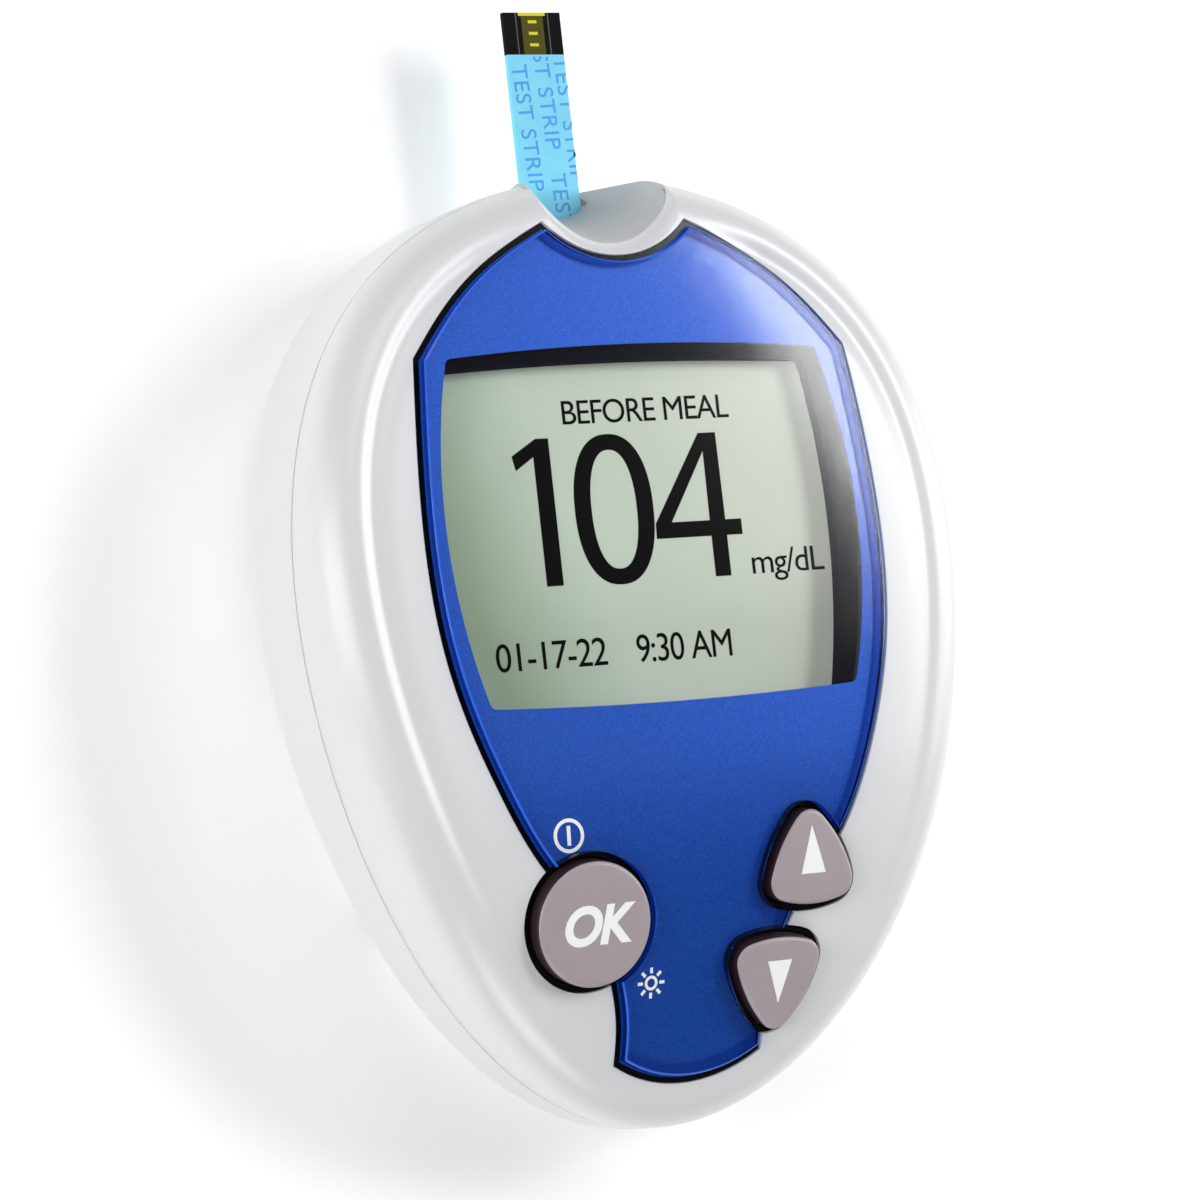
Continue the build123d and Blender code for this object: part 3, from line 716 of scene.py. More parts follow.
def board_finish(colour):
    """Green solder mask over fine tracks."""
    made = Finish("board_mask", colour, 0.35, coat=0.4)
    brick = made.nodes.new("ShaderNodeTexBrick")
    brick.inputs["Scale"].default_value = 1 / (6 * MM)
    brick.inputs["Mortar Size"].default_value = 0.03
    for key, value in (("Color1", colour), ("Color2", shade(colour, 0.92)), ("Mortar", shade(colour, 1.7))):
        brick.inputs[key].default_value = (*value, 1)
    made.link(made.place, brick.inputs["Vector"])
    made.paint(brick.outputs["Color"])
    made.bump(brick.outputs["Fac"], 0.02)
    return made.material


def cell_finish(side):
    """Printed wrap with a plain band near the cell's positive end."""
    made = Finish("cell_wrap_" + side, (0.05, 0.055, 0.065), 0.3, coat=0.5)
    _, y = made.split()
    where = made.times(made.maths("ADD", y, 34.0), 1 / 50.0)
    metal, black, copper = (0.55, 0.55, 0.56), (0.04, 0.045, 0.055), (0.72, 0.42, 0.12)
    bands = {"left": [(0.0, metal), (0.04, black), (0.68, copper), (0.93, metal)],
             "right": [(0.0, metal), (0.05, copper), (0.3, black), (0.94, metal)]}
    colour = made.ramp(where, bands[side])
    made.nodes[-1].color_ramp.interpolation = "CONSTANT"
    made.paint(colour)
    made.vary_rough(made.noise(0.5, 3), 0.26, 0.36)
    made.bump(made.noise(1.2), 0.004)
    return made.material


def ribbed_finish(name, dark, light, pitch):
    """Fine stripes across X, as on a zebra strip."""
    made = Finish(name, dark, 0.6)
    wave = made.maths("PINGPONG", made.split()[0], pitch)
    made.paint(made.ramp(made.times(wave, 1 / pitch), [(0.4, dark), (0.6, light)]))
    made.bump(made.noise(0.2), 0.002)
    return made.material


finishes = {}


def dress(piece, *names):
    """Gives a piece its finishes, in the order of its material slots."""
    piece.data.materials.clear()
    for name in names:
        piece.data.materials.append(finishes[name])


def carry(piece, body, slot, *nodes):
    """The piece rides on a body and stands for the CAD nodes, which it hides; the slot is not used."""
    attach(piece, body)
    if nodes:
        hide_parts(*nodes)
    return piece


def show(piece, finish, slot, body, *nodes, angle=None):
    """Smooths a finished piece up to an angle, dresses it and gives it to its body."""
    if angle:
        smooth(piece, angle)
    dress(piece, finish)
    return carry(piece, body, slot, *nodes)


def merged_copy(node, name):
    """A copy of a CAD node with its loose triangles joined."""
    twin = copy_of(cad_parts[node], name)
    twin.parent = None
    for key in [key for key in twin.keys() if key.startswith("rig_")]:
        del twin[key]
    edit(twin)
    bpy.ops.mesh.remove_doubles(threshold=1e-6)
    leave()
    return twin


# ---- sizes and colours that a user would change ----
def colour_property(name, description, default):
    return FloatVectorProperty(name=name, description=description, subtype="COLOR",
                               size=3, min=0, max=1, default=default)


class MeterLooks(bpy.types.PropertyGroup):
    """Colours and small sizes of the meter's finishes."""

    casing_colour: colour_property("Casing", "Silver-white paint of the casing", (0.73, 0.735, 0.745))
    faceplate_colour: colour_property("Faceplate", "Metallic blue ink of the faceplate", (0.003, 0.068, 0.42))
    button_colour: colour_property("Buttons", "Rubbery grey of the buttons", (0.39, 0.335, 0.36))
    lcd_colour: colour_property("Display", "Background of the display", (0.50, 0.585, 0.475))
    strip_colour: colour_property("Strip", "Base colour of the test strip", (0.25, 0.74, 0.99))
    port_colour: colour_property("Port", "Grey of the strip port", (0.55, 0.555, 0.56))
    print_thickness: FloatProperty(name="Print", description="Thickness of the white print on the buttons",
                                   unit="LENGTH", min=0.00001, max=0.0002, default=0.00003, precision=5)


def looks():
    return bpy.context.scene.meter_looks


# ---- casing ----
def rim(angles):
    """Lean of the face at the rim's rounding and the height of the rounding's centre."""
    inset = np.full(len(angles), FRONT_ROUND)
    for _ in range(3):
        contact, normal = egg(angles, inset)
        lean = np.arctan(-face_slope(contact[:, 1]) * normal[:, 1])
        inset = FRONT_ROUND * (1 - np.sin(lean))
    contact, _ = egg(angles, inset)
    return lean, face_height(contact[:, 1]) - RIM_DROP - FRONT_ROUND * np.cos(lean)


def skin(angles, rise):
    """The casing's outer skin at a height above the parting surface: places, insets and bends."""
    _, centre = rim(angles)
    inset = np.zeros(len(angles))
    for _ in range(3):
        height = parting_height(inside(angles, inset)[:, 1]) + rise
        bend = bent_in(height, centre)
        inset = FRONT_ROUND * (1 - np.cos(bend))
    return with_height(inside(angles, inset), height), inset, bend


def front_form():
    """Closed thin shell of the front housing on the flat face: inner side, rim, wall, rounding, top."""
    angles = egg_angles(320)
    middle = np.array([0.0, 2.0])
    lean, centre = rim(angles)
    seat, base, start = skin(angles, PARTING_GAP + 0.1)

    def seated(inset, rise):
        return with_height(inside(angles, base + inset), lambda y: parting_height(y) + PARTING_GAP + rise)

    rings = shrunk(inside(angles, base + WALL + 0.6), (POINT, 0.4, 0.75, 1.0),
                   lambda y: face_height(y) - FLOOR_BOTTOM, middle)
    rings += [seated(WALL, 0.0), seated(0.1, 0.0), seated(0.03, 0.03), seat]
    for share in (0.33, 0.66):
        ring = seat.copy()
        ring[:, 2] += share * np.maximum(centre - seat[:, 2], 0.0)
        rings.append(ring)
    for share in np.linspace(0.03, 1, 17):
        bend = start + share * (math.pi / 2 - lean - start)
        inset = FRONT_ROUND * (1 - np.cos(bend))
        rings.append(valley(with_height(inside(angles, inset), centre + FRONT_ROUND * np.sin(bend)), inset))
    touch = FRONT_ROUND * (1 - np.sin(lean))
    for share in np.linspace(0.08, 1, 12):
        inset = touch + share * (7.4 - touch)
        rings.append(valley(with_height(inside(angles, inset), rim_height), inset))
    rings += shrunk(rings[-1][:, :2], [*np.linspace(0.96, 0.55, 12), 0.42, 0.28, 0.14, POINT],
                    rim_height, middle)
    return lift(ring_stack("front_case", rings), -1)


def plate_stack(name, outline, levels):
    """Rings of an outline, each grown by the first value at the second value's height."""
    return ring_stack(name, [with_height(grown(outline, extra), height) for extra, height in levels])


def lip(y):
    """Radius of the scoop's rounded lip, which grows towards the outer end."""
    return SCOOP_LIP + LIP_GROWTH * np.clip((np.asarray(y) - 36.3) / 3, 0, 1) ** 2


def scoop_cutter():
    """Finger scoop with its rounded lip, on the flat face."""
    radius = lip(scoop_level(-2.0)[:, 1])
    rings = [scoop_level(level) for level in (-9.0, -7.0, -5.5)]
    rings.append(scoop_level(-RIM_DROP - radius - 0.4))
    for turn in np.linspace(0, math.pi / 2, 11):
        rings.append(scoop_level(-RIM_DROP - radius * (1 - math.sin(turn)), radius * (1 - math.cos(turn))))
    rings.append(scoop_level(0.6, radius * 1.05))
    return ring_stack("scoop_cutter", rings)


def scoop_seat():
    """Room for the strip port round the scoop, below the lip, on the flat face."""
    radius = lip(scoop_level(-2.0)[:, 1])
    levels = (-9.0, -6.5, -RIM_DROP - radius - 1.5, -RIM_DROP - radius - 0.03)
    rings = [scoop_level(level, PORT_WALL + PORT_GAP) for level in levels]
    return ring_stack("seat", rings, fans=True)


def valley(ring, inset):
    """Lowers a ring into the shallow valley that runs just inside the rim."""
    x, y = np.abs(ring[:, 0]), ring[:, 1]
    rise = np.clip((y + 31) / 20, 0, 1)
    beside_scoop = np.clip((x - 8.5) / 5, 0, 1)
    strength = rise**2 * (3 - 2 * rise) * np.where(y > 30, beside_scoop, 1.0)
    ring[:, 2] -= VALLEY * strength * np.exp(-((inset - 4.35) / 0.95) ** 2)
    return ring


class METER_OT_front_case(bpy.types.Operator):
    """Front housing: rounded rim, arched face, faceplate recess, button rings and finger scoop"""
    bl_idname = "meter.front_case"
    bl_label = "Front case"

    def execute(self, context):
        case = front_form()
        recess = plate_stack("recess", grown(faceplate_outline(), TRAY_EDGE),
                             [(0, -FLOOR_TOP), (0, -1.0), (0.03, -0.88), (0.14, -0.76), (0.14, 1.0)])
        cutters = [recess, plate_stack("window", grown(window_outline(), 1.2), [(0, -9.0), (0, 1.0)])]
        flared = [(RING, -2.35), (RING, -1.1), (RING + 0.02, -0.95),
                  (RING + 0.06, -0.84), (RING + 0.16, -0.7), (RING + 0.2, 1.5)]
        for name in BUTTONS:
            cutters += [lift(button_stack("ring", name, flared), -1),
                        lift(button_stack("hole", name, [(SIDE_GAP, -6), (SIDE_GAP, 1)]), -1)]
        cut(case, *cutters, scoop_cutter(), scoop_seat())
        show(lift(case), "casing", "casing", BODY, "front_housing", angle=ROUND_ANGLE)
        return {"FINISHED"}


def back_rounding(angles, inset, steps):
    """Rings of the back's rounded edge, moved inwards by an inset, from the flat back up to the wall."""
    radius = BACK_ROUND - inset
    bends = np.linspace(0, 1, steps) * math.pi / 2
    return [with_height(inside(angles, inset + radius * (1 - math.sin(bend))),
                        inset + radius * (1 - math.cos(bend))) for bend in bends]


def rear_form():
    """Closed solid with the outer shape of the rear housing."""
    angles = egg_angles(320)
    _, centre = rim(angles)
    seat, base, _ = skin(angles, -0.12)
    rings = shrunk(inside(angles, BACK_ROUND), (POINT, 0.3, 0.6, 0.85), 0.0)
    rings += back_rounding(angles, 0.0, 17)
    knee = np.minimum(centre, seat[:, 2] - 0.01)
    for share in (0.5, 1.0):
        rings.append(with_height(inside(angles, 0.0), BACK_ROUND + share * (knee - BACK_ROUND)))
    for share in (0.33, 0.66):
        height = knee + share * (seat[:, 2] - knee)
        inset = FRONT_ROUND * (1 - np.cos(bent_in(height, centre)))
        rings.append(with_height(inside(angles, inset), height))
    rings.append(seat)
    rings.append(with_height(inside(angles, base + 0.03), lambda y: parting_height(y) - 0.03))
    rings.append(with_height(inside(angles, base + 0.12), parting_height))
    rings += shrunk(rings[-1][:, :2], (0.6, POINT), parting_height)
    return ring_stack("rear_case", rings)


def rear_cavity():
    """The rear housing's inner space, open upwards."""
    angles = egg_angles(240)
    rings = shrunk(inside(angles, BACK_ROUND), (POINT, 0.5), WALL)
    rings += back_rounding(angles, WALL, 9)
    rings.append(with_height(inside(angles, WALL), BACK_ROUND + 1.0))
    _, base, _ = skin(angles, 0.0)
    rings += shrunk(inside(angles, WALL + base), (1.0, POINT), 30.0)
    return ring_stack("cavity", rings)


def door_blank(gap):
    """Door plate and its two rails, grown by a gap, from beyond the casing up to the bay's upper end."""
    low, half, high, top = -60, DOOR_HALF + gap, DOOR_END + gap, DOOR_THICK + gap
    blank = box("door_blank", (-half, low, -1), (half, high, top))
    rails = box("rails", (-half - RAIL, low, DOOR_THICK - RAIL_THICK - gap),
                (half + RAIL, high - 0.001, top - 0.001))
    return cut(blank, rails, operation="UNION")


def screw_rods(name, low, high, radius):
    """Rods on the four screws' axes."""
    return [rod(name, (x, y, low), (x, y, high), radius) for x, y in SCREWS]


class METER_OT_rear_case(bpy.types.Operator):
    """Rear housing with its battery bay, door slot, screw sinks and jack hole, and the sliding door"""
    bl_idname = "meter.rear_case"
    bl_label = "Rear case and battery door"

    def execute(self, context):
        case = rear_form()
        door = copy_of(case, "door")
        filling = copy_of(case, "filling")
        cut(case, rear_cavity())
        liner = box("liner", (-BAY_HALF - BAY_WALL, BAY_LOW - 2, 0.5),
                    (BAY_HALF + BAY_WALL, BAY_HIGH + BAY_WALL, BOARD_UNDERSIDE - 0.05))
        seat = box("seat", (-DOOR_SEAT_HALF, DOOR_SEAT_LOW, 0.2),
                   (DOOR_SEAT_HALF, BAY_HIGH + 2 * BAY_WALL, DOOR_SEAT_TOP))
        bosses = screw_rods("boss", 0.3, BOARD_UNDERSIDE - 0.07, BOSS_RADIUS)
        cut(liner, seat, *bosses, operation="UNION")
        cut(liner, filling, operation="INTERSECT")
        cut(case, liner, operation="UNION")
        cut(case, box("bay", (-BAY_HALF, BAY_LOW, DOOR_THICK - 0.2), (BAY_HALF, BAY_HIGH, 20)))
        sinks = screw_rods("sink", -1, SCREW_SEAT, SCREW_HEAD_RADIUS + SCREW_GAP)
        holes = screw_rods("clearance", -1, 20, SCREW_RADIUS + SCREW_GAP)
        jack_hole = rod("jack_hole", (25, JACK_Y, JACK_Z), (40, JACK_Y, JACK_Z), JACK_RADIUS)
        port_hole = ring_stack("port_hole", [scoop_ring(height, PORT_WALL + PORT_GAP)
                                             for height in np.linspace(6.15, 20, 10)])
        cut(case, door_blank(DOOR_GAP), *sinks, *holes, jack_hole, port_hole)
        show(case, "casing", "casing", BODY, "rear_housing", angle=ROUND_ANGLE)

        cut(door, door_blank(0), operation="INTERSECT")
        grooves = [GRIP_LOW + GRIP_PITCH * k for k in range(GRIPS)]
        cut(door, *[box("groove", (-GRIP_HALF, low, -1), (GRIP_HALF, low + GRIP_WIDTH, GRIP_DEPTH))
                    for low in grooves])
        show(door, "casing", "casing", "battery_door", "battery_door", angle=ROUND_ANGLE)
        return {"FINISHED"}


# ---- faceplate ----
def ring_cutter(name, bevel):
    """Cutter for a button's opening in the faceplate, on the flat face, flared at the plate's top."""
    levels = [(RING, -3.0), (RING, -bevel), (RING + bevel * 0.3, -bevel * 0.3),
              (RING + bevel, 0.02), (RING + bevel, 1.0)]
    return lift(button_stack("ring_cutter", name, levels), -1)


def laid(sheet):
    """A flat sheet bent up to the arched face."""
    return lift(slice_across(sheet))


class METER_OT_faceplate(bpy.types.Operator):
    """Clear faceplate, printed blue film behind it and the black tray under both"""
    bl_idname = "meter.faceplate"
    bl_label = "Faceplate"

    def execute(self, context):
        outline = faceplate_outline()
        lens = plate_stack("lens", outline, [(0, -LENS), (0, -0.16), (-0.05, -0.05), (-0.15, 0.0)])
        cut(lens, *[ring_cutter(name, 0.12) for name in BUTTONS])
        slice_across(lens)
        dress(lens, "lens", "lens_side_painted_shade", "lens_bevel_painted_highlight")
        # The lens's side faces take painted shade, its bevel faces a light blue painted highlight.
        for face in lens.data.polygons:
            height = face.center.z / MM
            if abs(face.normal.z) < 0.97:
                face.material_index = 1 if height < -0.17 else 2
        smooth(lift(lens), SHEET_ANGLE)
        carry(lens, BODY, "faceplate_clear", "faceplate_lens")

        film = plate_stack("film", grown(outline, 0.1), [(0, -FILM_BOTTOM), (0, -LENS - 0.01)])
        cut(film, plate_stack("window", window_outline(), [(0, -2), (0, 1)]),
            *button_cutters("ring", RING, -3, 1))
        show(laid(film), "film", "faceplate_blue", BODY, "faceplate_film", angle=SHEET_ANGLE)

        tray = plate_stack("tray", grown(outline, TRAY_EDGE - 0.05), [(0, -TRAY_BOTTOM), (0, -TRAY_TOP)])
        discs = button_cutters("disc", RING - 0.05, -5.0, 0.0)
        for disc in discs:
            slab = box("slab", (-30, -40, 0.02 - TRAY_BOTTOM), (30, 0, -0.02 - TRAY_TOP))
            cut(disc, slab, operation="INTERSECT")
        cut(tray, *discs, operation="UNION")
        cut(tray, plate_stack("window", grown(window_outline(), 0.3), [(0, -3), (0, 1)]),
            *button_cutters("hole", SIDE_GAP, -4, 0))
        show(laid(tray), "tray", "tray_black", BODY, "faceplate_tray", angle=SHEET_ANGLE)
        return {"FINISHED"}


# ---- lettering and signs ----
def lettering(name, text, low, high, slant=0.0, weight=0.0, spacing=1.0):
    """Text as a mesh that fills the box between two corners, 0 to 1 thick in Z."""
    deselect()
    bpy.ops.object.text_add()
    sign = bpy.context.object
    sign.name = name
    words = sign.data
    words.body, words.shear, words.offset, words.space_character = text, slant, weight, spacing
    words.extrude, words.resolution_u = 0.05, 6
    bpy.ops.object.convert(target="MESH")
    sign = bpy.context.object
    edit(sign)
    bpy.ops.mesh.remove_doubles(threshold=1e-5)
    leave()
    points = points_of(sign)
    lowest, highest = points.min(0), points.max(0)
    points = (points - lowest) / (highest - lowest)
    points[:, :2] = np.asarray(low) + points[:, :2] * (np.asarray(high) - np.asarray(low))
    place_points(sign, points)
    return sign


def glyph(name, outline, hole=None):
    """Figure 0 to 1 thick with the given outline, and perhaps a hole with an outline of its own."""
    sign = ring_stack(name, [with_height(outline, 0.0), with_height(outline, 1.0)])
    if hole is not None:
        cut(sign, ring_stack("counter", [with_height(hole, -1.0), with_height(hole, 2.0)]))
    return sign


OVAL_POWER = 2.3


def oval(x, y, half_width, half_height):
    """Superellipse, slightly squarer than an ellipse."""
    angles = np.linspace(0, 2 * math.pi, 80, endpoint=False)
    c, s = np.cos(angles), np.sin(angles)
    return np.stack([x + half_width * np.sign(c) * np.abs(c) ** (2 / OVAL_POWER),
                     y + half_height * np.sign(s) * np.abs(s) ** (2 / OVAL_POWER)], 1)


FIGURE_ONE = [(-8.85, 5.5), (-7.3, 5.5), (-7.3, 17.75), (-8.5, 17.75), (-10.85, 16.38),
              (-10.6, 15.16), (-8.85, 16.25)]
FIGURE_FOUR = [(7.22, 5.45), (8.72, 5.45), (8.72, 8.88), (10.25, 8.88), (10.25, 10.2), (8.72, 10.2),
               (8.65, 17.6), (6.98, 17.6), (2.0, 10.15), (1.95, 8.88), (7.22, 8.88)]
FOUR_HOLE = [(3.54, 10.2), (7.22, 10.2), (7.27, 16.06)]


def big_figures():
    """The large 104, each figure at its place on the glass."""
    one = glyph("reading", np.array(FIGURE_ONE))
    nought = glyph("nought", oval(-1.78, 11.58, 3.72, 6.29), oval(-1.78, 11.58, 2.15, 4.97))
    return join(one, nought, glyph("four", np.array(FIGURE_FOUR), np.array(FOUR_HOLE)))


def ring_sign(name, x, y, radius, hole):
    """Flat ring, 0 to 1 thick."""
    return cut(rod(name, (x, y, 0), (x, y, 1), radius), rod("hole", (x, y, -1), (x, y, 2), hole))


def turned(points, x, y, turn):
    """Points turned about Z and moved, with the height left as it is."""
    across, along, height = points.T
    return np.column_stack([x + across * math.cos(turn) - along * math.sin(turn),
                            y + across * math.sin(turn) + along * math.cos(turn), height])


def join(first, *others):
    activate(first)
    for other in others:
        other.select_set(True)
    bpy.context.view_layer.objects.active = first
    bpy.ops.object.join()
    return first


class METER_OT_display(bpy.types.Operator):
    """Display glass, its frame and the dark figures and words on it"""
    bl_idname = "meter.display"
    bl_label = "Display"

    def execute(self, context):
        dress(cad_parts["display_glass"], "lcd")
        dress(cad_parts["display_frame"], "frame")
        words = [
            ("meal_mark", "BEFORE MEAL", (-5.74, 18.8), (10.2, 20.81)),
            ("unit", "mg/dL", (10.85, 4.78), (17.93, 7.56)),
            ("date", "01-17-22", (-14.29, -1.3), (-3.95, 1.04)),
            ("time", "9:30 AM", (-1.1, -1.3), (7.98, 1.04)),
        ]
        signs = [lettering(name, text, low, high, spacing=0.92) for name, text, low, high in words]
        signs.append(big_figures())
        for sign in signs:
            points = points_of(sign)
            points[:, 2] = GLASS_TOP + PRINT_LIFT + points[:, 2] * 0.02
            place_points(sign, points)
            show(sign, "lcd_ink", "lcd", BODY)
        return {"FINISHED"}


# ---- buttons ----
def crown(name, places):
    """Height of a button's slightly domed top above the face."""
    reach = OK_RADIUS if name == "ok_button" else 4.2
    return PROUD + CROWN * (1 - np.clip((np.asarray(places)[:, :2] ** 2).sum(1) / reach**2, 0, 1.2))


def button_cap(name):
    """Cap with straight sides, a rounded edge and a domed top."""
    outline = button_outline(name)
    rings = [with_height(outline * share, height)
             for share, height in ((POINT, CAP_BOTTOM), (1, CAP_BOTTOM), (1, -0.2))]
    for k in range(1, 7):
        turn = math.pi / 2 * k / 6
        outline = button_outline(name, -CAP_ROUND * (1 - math.cos(turn)))
        rings.append(with_height(outline, crown(name, outline) - CAP_ROUND * (1 - math.sin(turn))))
    for share in (0.9, 0.78, 0.62, 0.45, 0.25, POINT):
        rings.append(with_height(outline * share, crown(name, outline * share)))
    return ring_stack(name.replace("button", "cap"), [on_button(name, ring) for ring in rings])


def print_on_button(sign, name, thickness):
    """Lays a sign made 0 to 1 thick on a button's domed top."""
    points = points_of(sign)
    points[:, 2] = crown(name, points) + PRINT_LIFT + points[:, 2] * thickness
    place_points(sign, on_button(name, points))
    return sign


def triangle_sign(name, width, height, low, way):
    """Narrow triangle, 0 to 1 thick, that points up or down."""
    deselect()
    bpy.ops.mesh.primitive_cylinder_add(vertices=3, radius=1.0, depth=1.0)
    sign = bpy.context.object
    sign.name = sign.data.name = name
    unit = points_of(sign) * MM
    apex = unit[:, 1] > unit[:, 1].mean() + 0.3
    side = np.where(apex, 0.0, np.sign(unit[:, 0]))
    along = np.where(apex, height, 0.0)
    y = low + along if way > 0 else low + height - along
    place_points(sign, np.column_stack([side * width / 2, y, unit[:, 2] + 0.5]))
    return sign


class METER_OT_buttons(bpy.types.Operator):
    """The round button and the two arrow buttons with their white print"""
    bl_idname = "meter.buttons"
    bl_label = "Buttons"

    def execute(self, context):
        thickness = looks().print_thickness / MM
        signs = {
            "ok_button": lettering("ok_word", "OK", (-2.9, -1.7), (3.65, 1.66),
                                   slant=0.22, weight=0.035, spacing=0.95),
            "up_button": triangle_sign("up_sign", 2.35, 4.0, -1.55, 1),
            "down_button": triangle_sign("down_sign", 2.3, 3.65, -1.45, -1),
        }
        for name, sign in signs.items():
            cap = button_cap(name)
            smooth(cap, ROUND_ANGLE)
            dress(cap, "button", "button_side_and_painted_shade")
            # Faces turned away from the top take the dark side finish: a dark keymat under the grey top, and
            # painted shade on the cap's sides.
            out = Vector(on_button(name, (0, 0, 1)) - on_button(name, (0, 0, 0)))
            for face in cap.data.polygons:
                face.material_index = int(face.normal.dot(out) < 0.55)
            carry(cap, name, "button", name)
            if name != "ok_button":
                edit(sign)
                bpy.ops.mesh.subdivide(number_cuts=2)
                leave()
            show(print_on_button(sign, name, thickness), "white_print", "button", name)
        return {"FINISHED"}


class METER_OT_signs(bpy.types.Operator):
    """White power and light signs printed on the faceplate"""
    bl_idname = "meter.signs"
    bl_label = "Faceplate signs"

    def execute(self, context):
        x, y = POWER_SIGN
        power = ring_sign("power_sign", x, y, 1.4, 1.1)
        join(power, box("bar", (x - 0.165, y - 0.8, 0), (x + 0.165, y + 0.8, 1)))
        light = ring_sign("light_sign", *LIGHT_SIGN, 0.6, 0.36)
        rays = [box("ray", (0.78, -0.13, 0), (1.25, 0.13, 1)) for _ in range(8)]
        for k, ray in enumerate(rays):
            place_points(ray, turned(points_of(ray), *LIGHT_SIGN, math.pi / 4 * k))
        join(light, *rays)
        for sign in (power, light):
            points = points_of(sign)
            points[:, 2] = face_height(points[:, 1]) - LENS + PRINT_LIFT + points[:, 2] * PRINT
            place_points(sign, points)
            show(sign, "white_print", "faceplate_blue", BODY)
        return {"FINISHED"}


# ---- strip and its port ----
def port_lid():
    """Closed form that keeps the strip port inside the casing's skin and below the scoop's lip."""
    def lip_height(y):
        return rim_height(y) - lip(y) - PORT_DROP

    angles = egg_angles(320)
    _, centre = rim(angles)
    top = lip_height(inside(angles, 0.0)[:, 1])
    rings = []
    for share in (0.1, 0.6, 0.72, 0.8, 0.86, 0.91, 0.955, 1.0):
        height = share * top
        inset = FRONT_ROUND * (1 - np.cos(bent_in(height, centre)))
        ease = np.clip((height - 14.0) / 2.5, 0, 1)
        rings.append(with_height(inside(angles, inset - 0.4 + 0.45 * ease), height))
    base = shrunk(rings[0][:, :2], (POINT,), 1.0)
    cover = shrunk(rings[-1][:, :2], (0.97, 0.94, 0.91, 0.88, 0.85, 0.8, 0.5, POINT), lip_height)
    return ring_stack("lid", base + rings + cover)


def strip_words(name, text, x, start):
    """A row of plain words that runs down the strip, cut off at its edges."""
    row = lettering(name, text, (0, 0), (24.0, 1.45), spacing=1.05)
    points = points_of(row)
    points[:, 1] -= 0.72
    points[:, 2] = STRIP_TOP + 0.003 + points[:, 2] * 0.015
    place_points(row, turned(points, x, start, math.radians(-87.5)))
    for place, way in (((STRIP_HALF, 0, 0), (1, 0, 0)), ((-STRIP_HALF, 0, 0), (-1, 0, 0)),
                       ((0, STRIP_CONTACTS, 0), (0, 1, 0))):
        edit(row)
        bpy.ops.mesh.bisect(plane_co=Vector(place) * MM, plane_no=way, use_fill=True, clear_outer=True)
        leave()
    return row


class METER_OT_strip(bpy.types.Operator):
    """Grey bowl of the strip port and the printed test strip"""
    bl_idname = "meter.strip"
    bl_label = "Strip and port"

    def execute(self, context):
        port = ring_stack("port", [scoop_ring(height, PORT_WALL) for height in np.linspace(6.2, 21, 12)])
        cut(port, ring_stack("bowl", [scoop_ring(height) for height in np.linspace(7.3, 22, 24)]))
        cut(port, port_lid(), operation="INTERSECT")
        cut(port, box("slot", (-2.95, 30, 7.85), (3.25, 50, 8.95)))
        show(port, "port", "port", BODY, "strip_port", angle=ROUND_ANGLE)
        dress(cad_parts["test_strip"], "strip")
        for number, (x, start) in enumerate(((-1.75, 50.9), (0.3, 54.5), (2.35, 51.6)), start=1):
            row = strip_words(f"strip_words_{number}", "TEST STRIP   TEST STRIP", x, start)
            show(row, "strip_ink", "strip", "test_strip")
        return {"FINISHED"}


# ---- inner pieces and hardware ----
class METER_OT_hardware(bpy.types.Operator):
    """Screws, data jack, cells, springs, contact plates and everything on the circuit board"""
    bl_idname = "meter.hardware"
    bl_label = "Hardware and inner pieces"

    def execute(self, context):
        head = rod("screw_head", (0, 0, SCREW_SEAT - SCREW_HEAD), (0, 0, SCREW_SEAT), SCREW_HEAD_RADIUS, 40)
        cut(head, *[box("cross", (-x, -y, 2.0), (x, y, 3.35)) for x, y in ((1.15, 0.22), (0.22, 1.15))])
        shank = rod("shank", (0, 0, SCREW_SEAT - 0.2), (0, 0, SCREW_SEAT + 12), SCREW_RADIUS, 24)
        cut(head, shank, operation="UNION")
        for number, (x, y) in enumerate(SCREWS, start=1):
            screw = copy_of(head, f"screw_{number}_shown")
            place_points(screw, points_of(screw) + (x, y, 0))
            show(screw, "steel", "tin", BODY, f"screw_{number}", angle=30)
        bpy.data.objects.remove(head)
        steel_slots = {"battery_spring_left": "tin", "battery_spring_right": "tin",
                       "ok_dome": "dome", "up_dome": "dome", "down_dome": "dome"}
        rounds = {"data_jack": ("jack", "jack"), "battery_left": ("cell_left", "cell"),
                  "battery_right": ("cell_right", "cell"),
                  **{node: ("steel", slot) for node, slot in steel_slots.items()}}
        for node, (finish, slot) in rounds.items():
            show(merged_copy(node, node + "_shown"), finish, slot, BODY, node, angle=30)
        flats = {"board": ("circuit_board",), "chip": ("microcontroller", "memory_chip"),
                 "steel": ("crystal", "battery_plate_left", "battery_plate_right"),
                 "tantalum": ("capacitor",), "guide": ("light_guide",), "zebra": ("zebra_strip",),
                 "led": ("backlight_leds",), "connector": ("strip_connector",),
                 "gold": ("strip_contact_left", "strip_contact_middle", "strip_contact_right")}
        for finish, nodes in flats.items():
            for node in nodes:
                dress(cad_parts[node], finish)
        return {"FINISHED"}


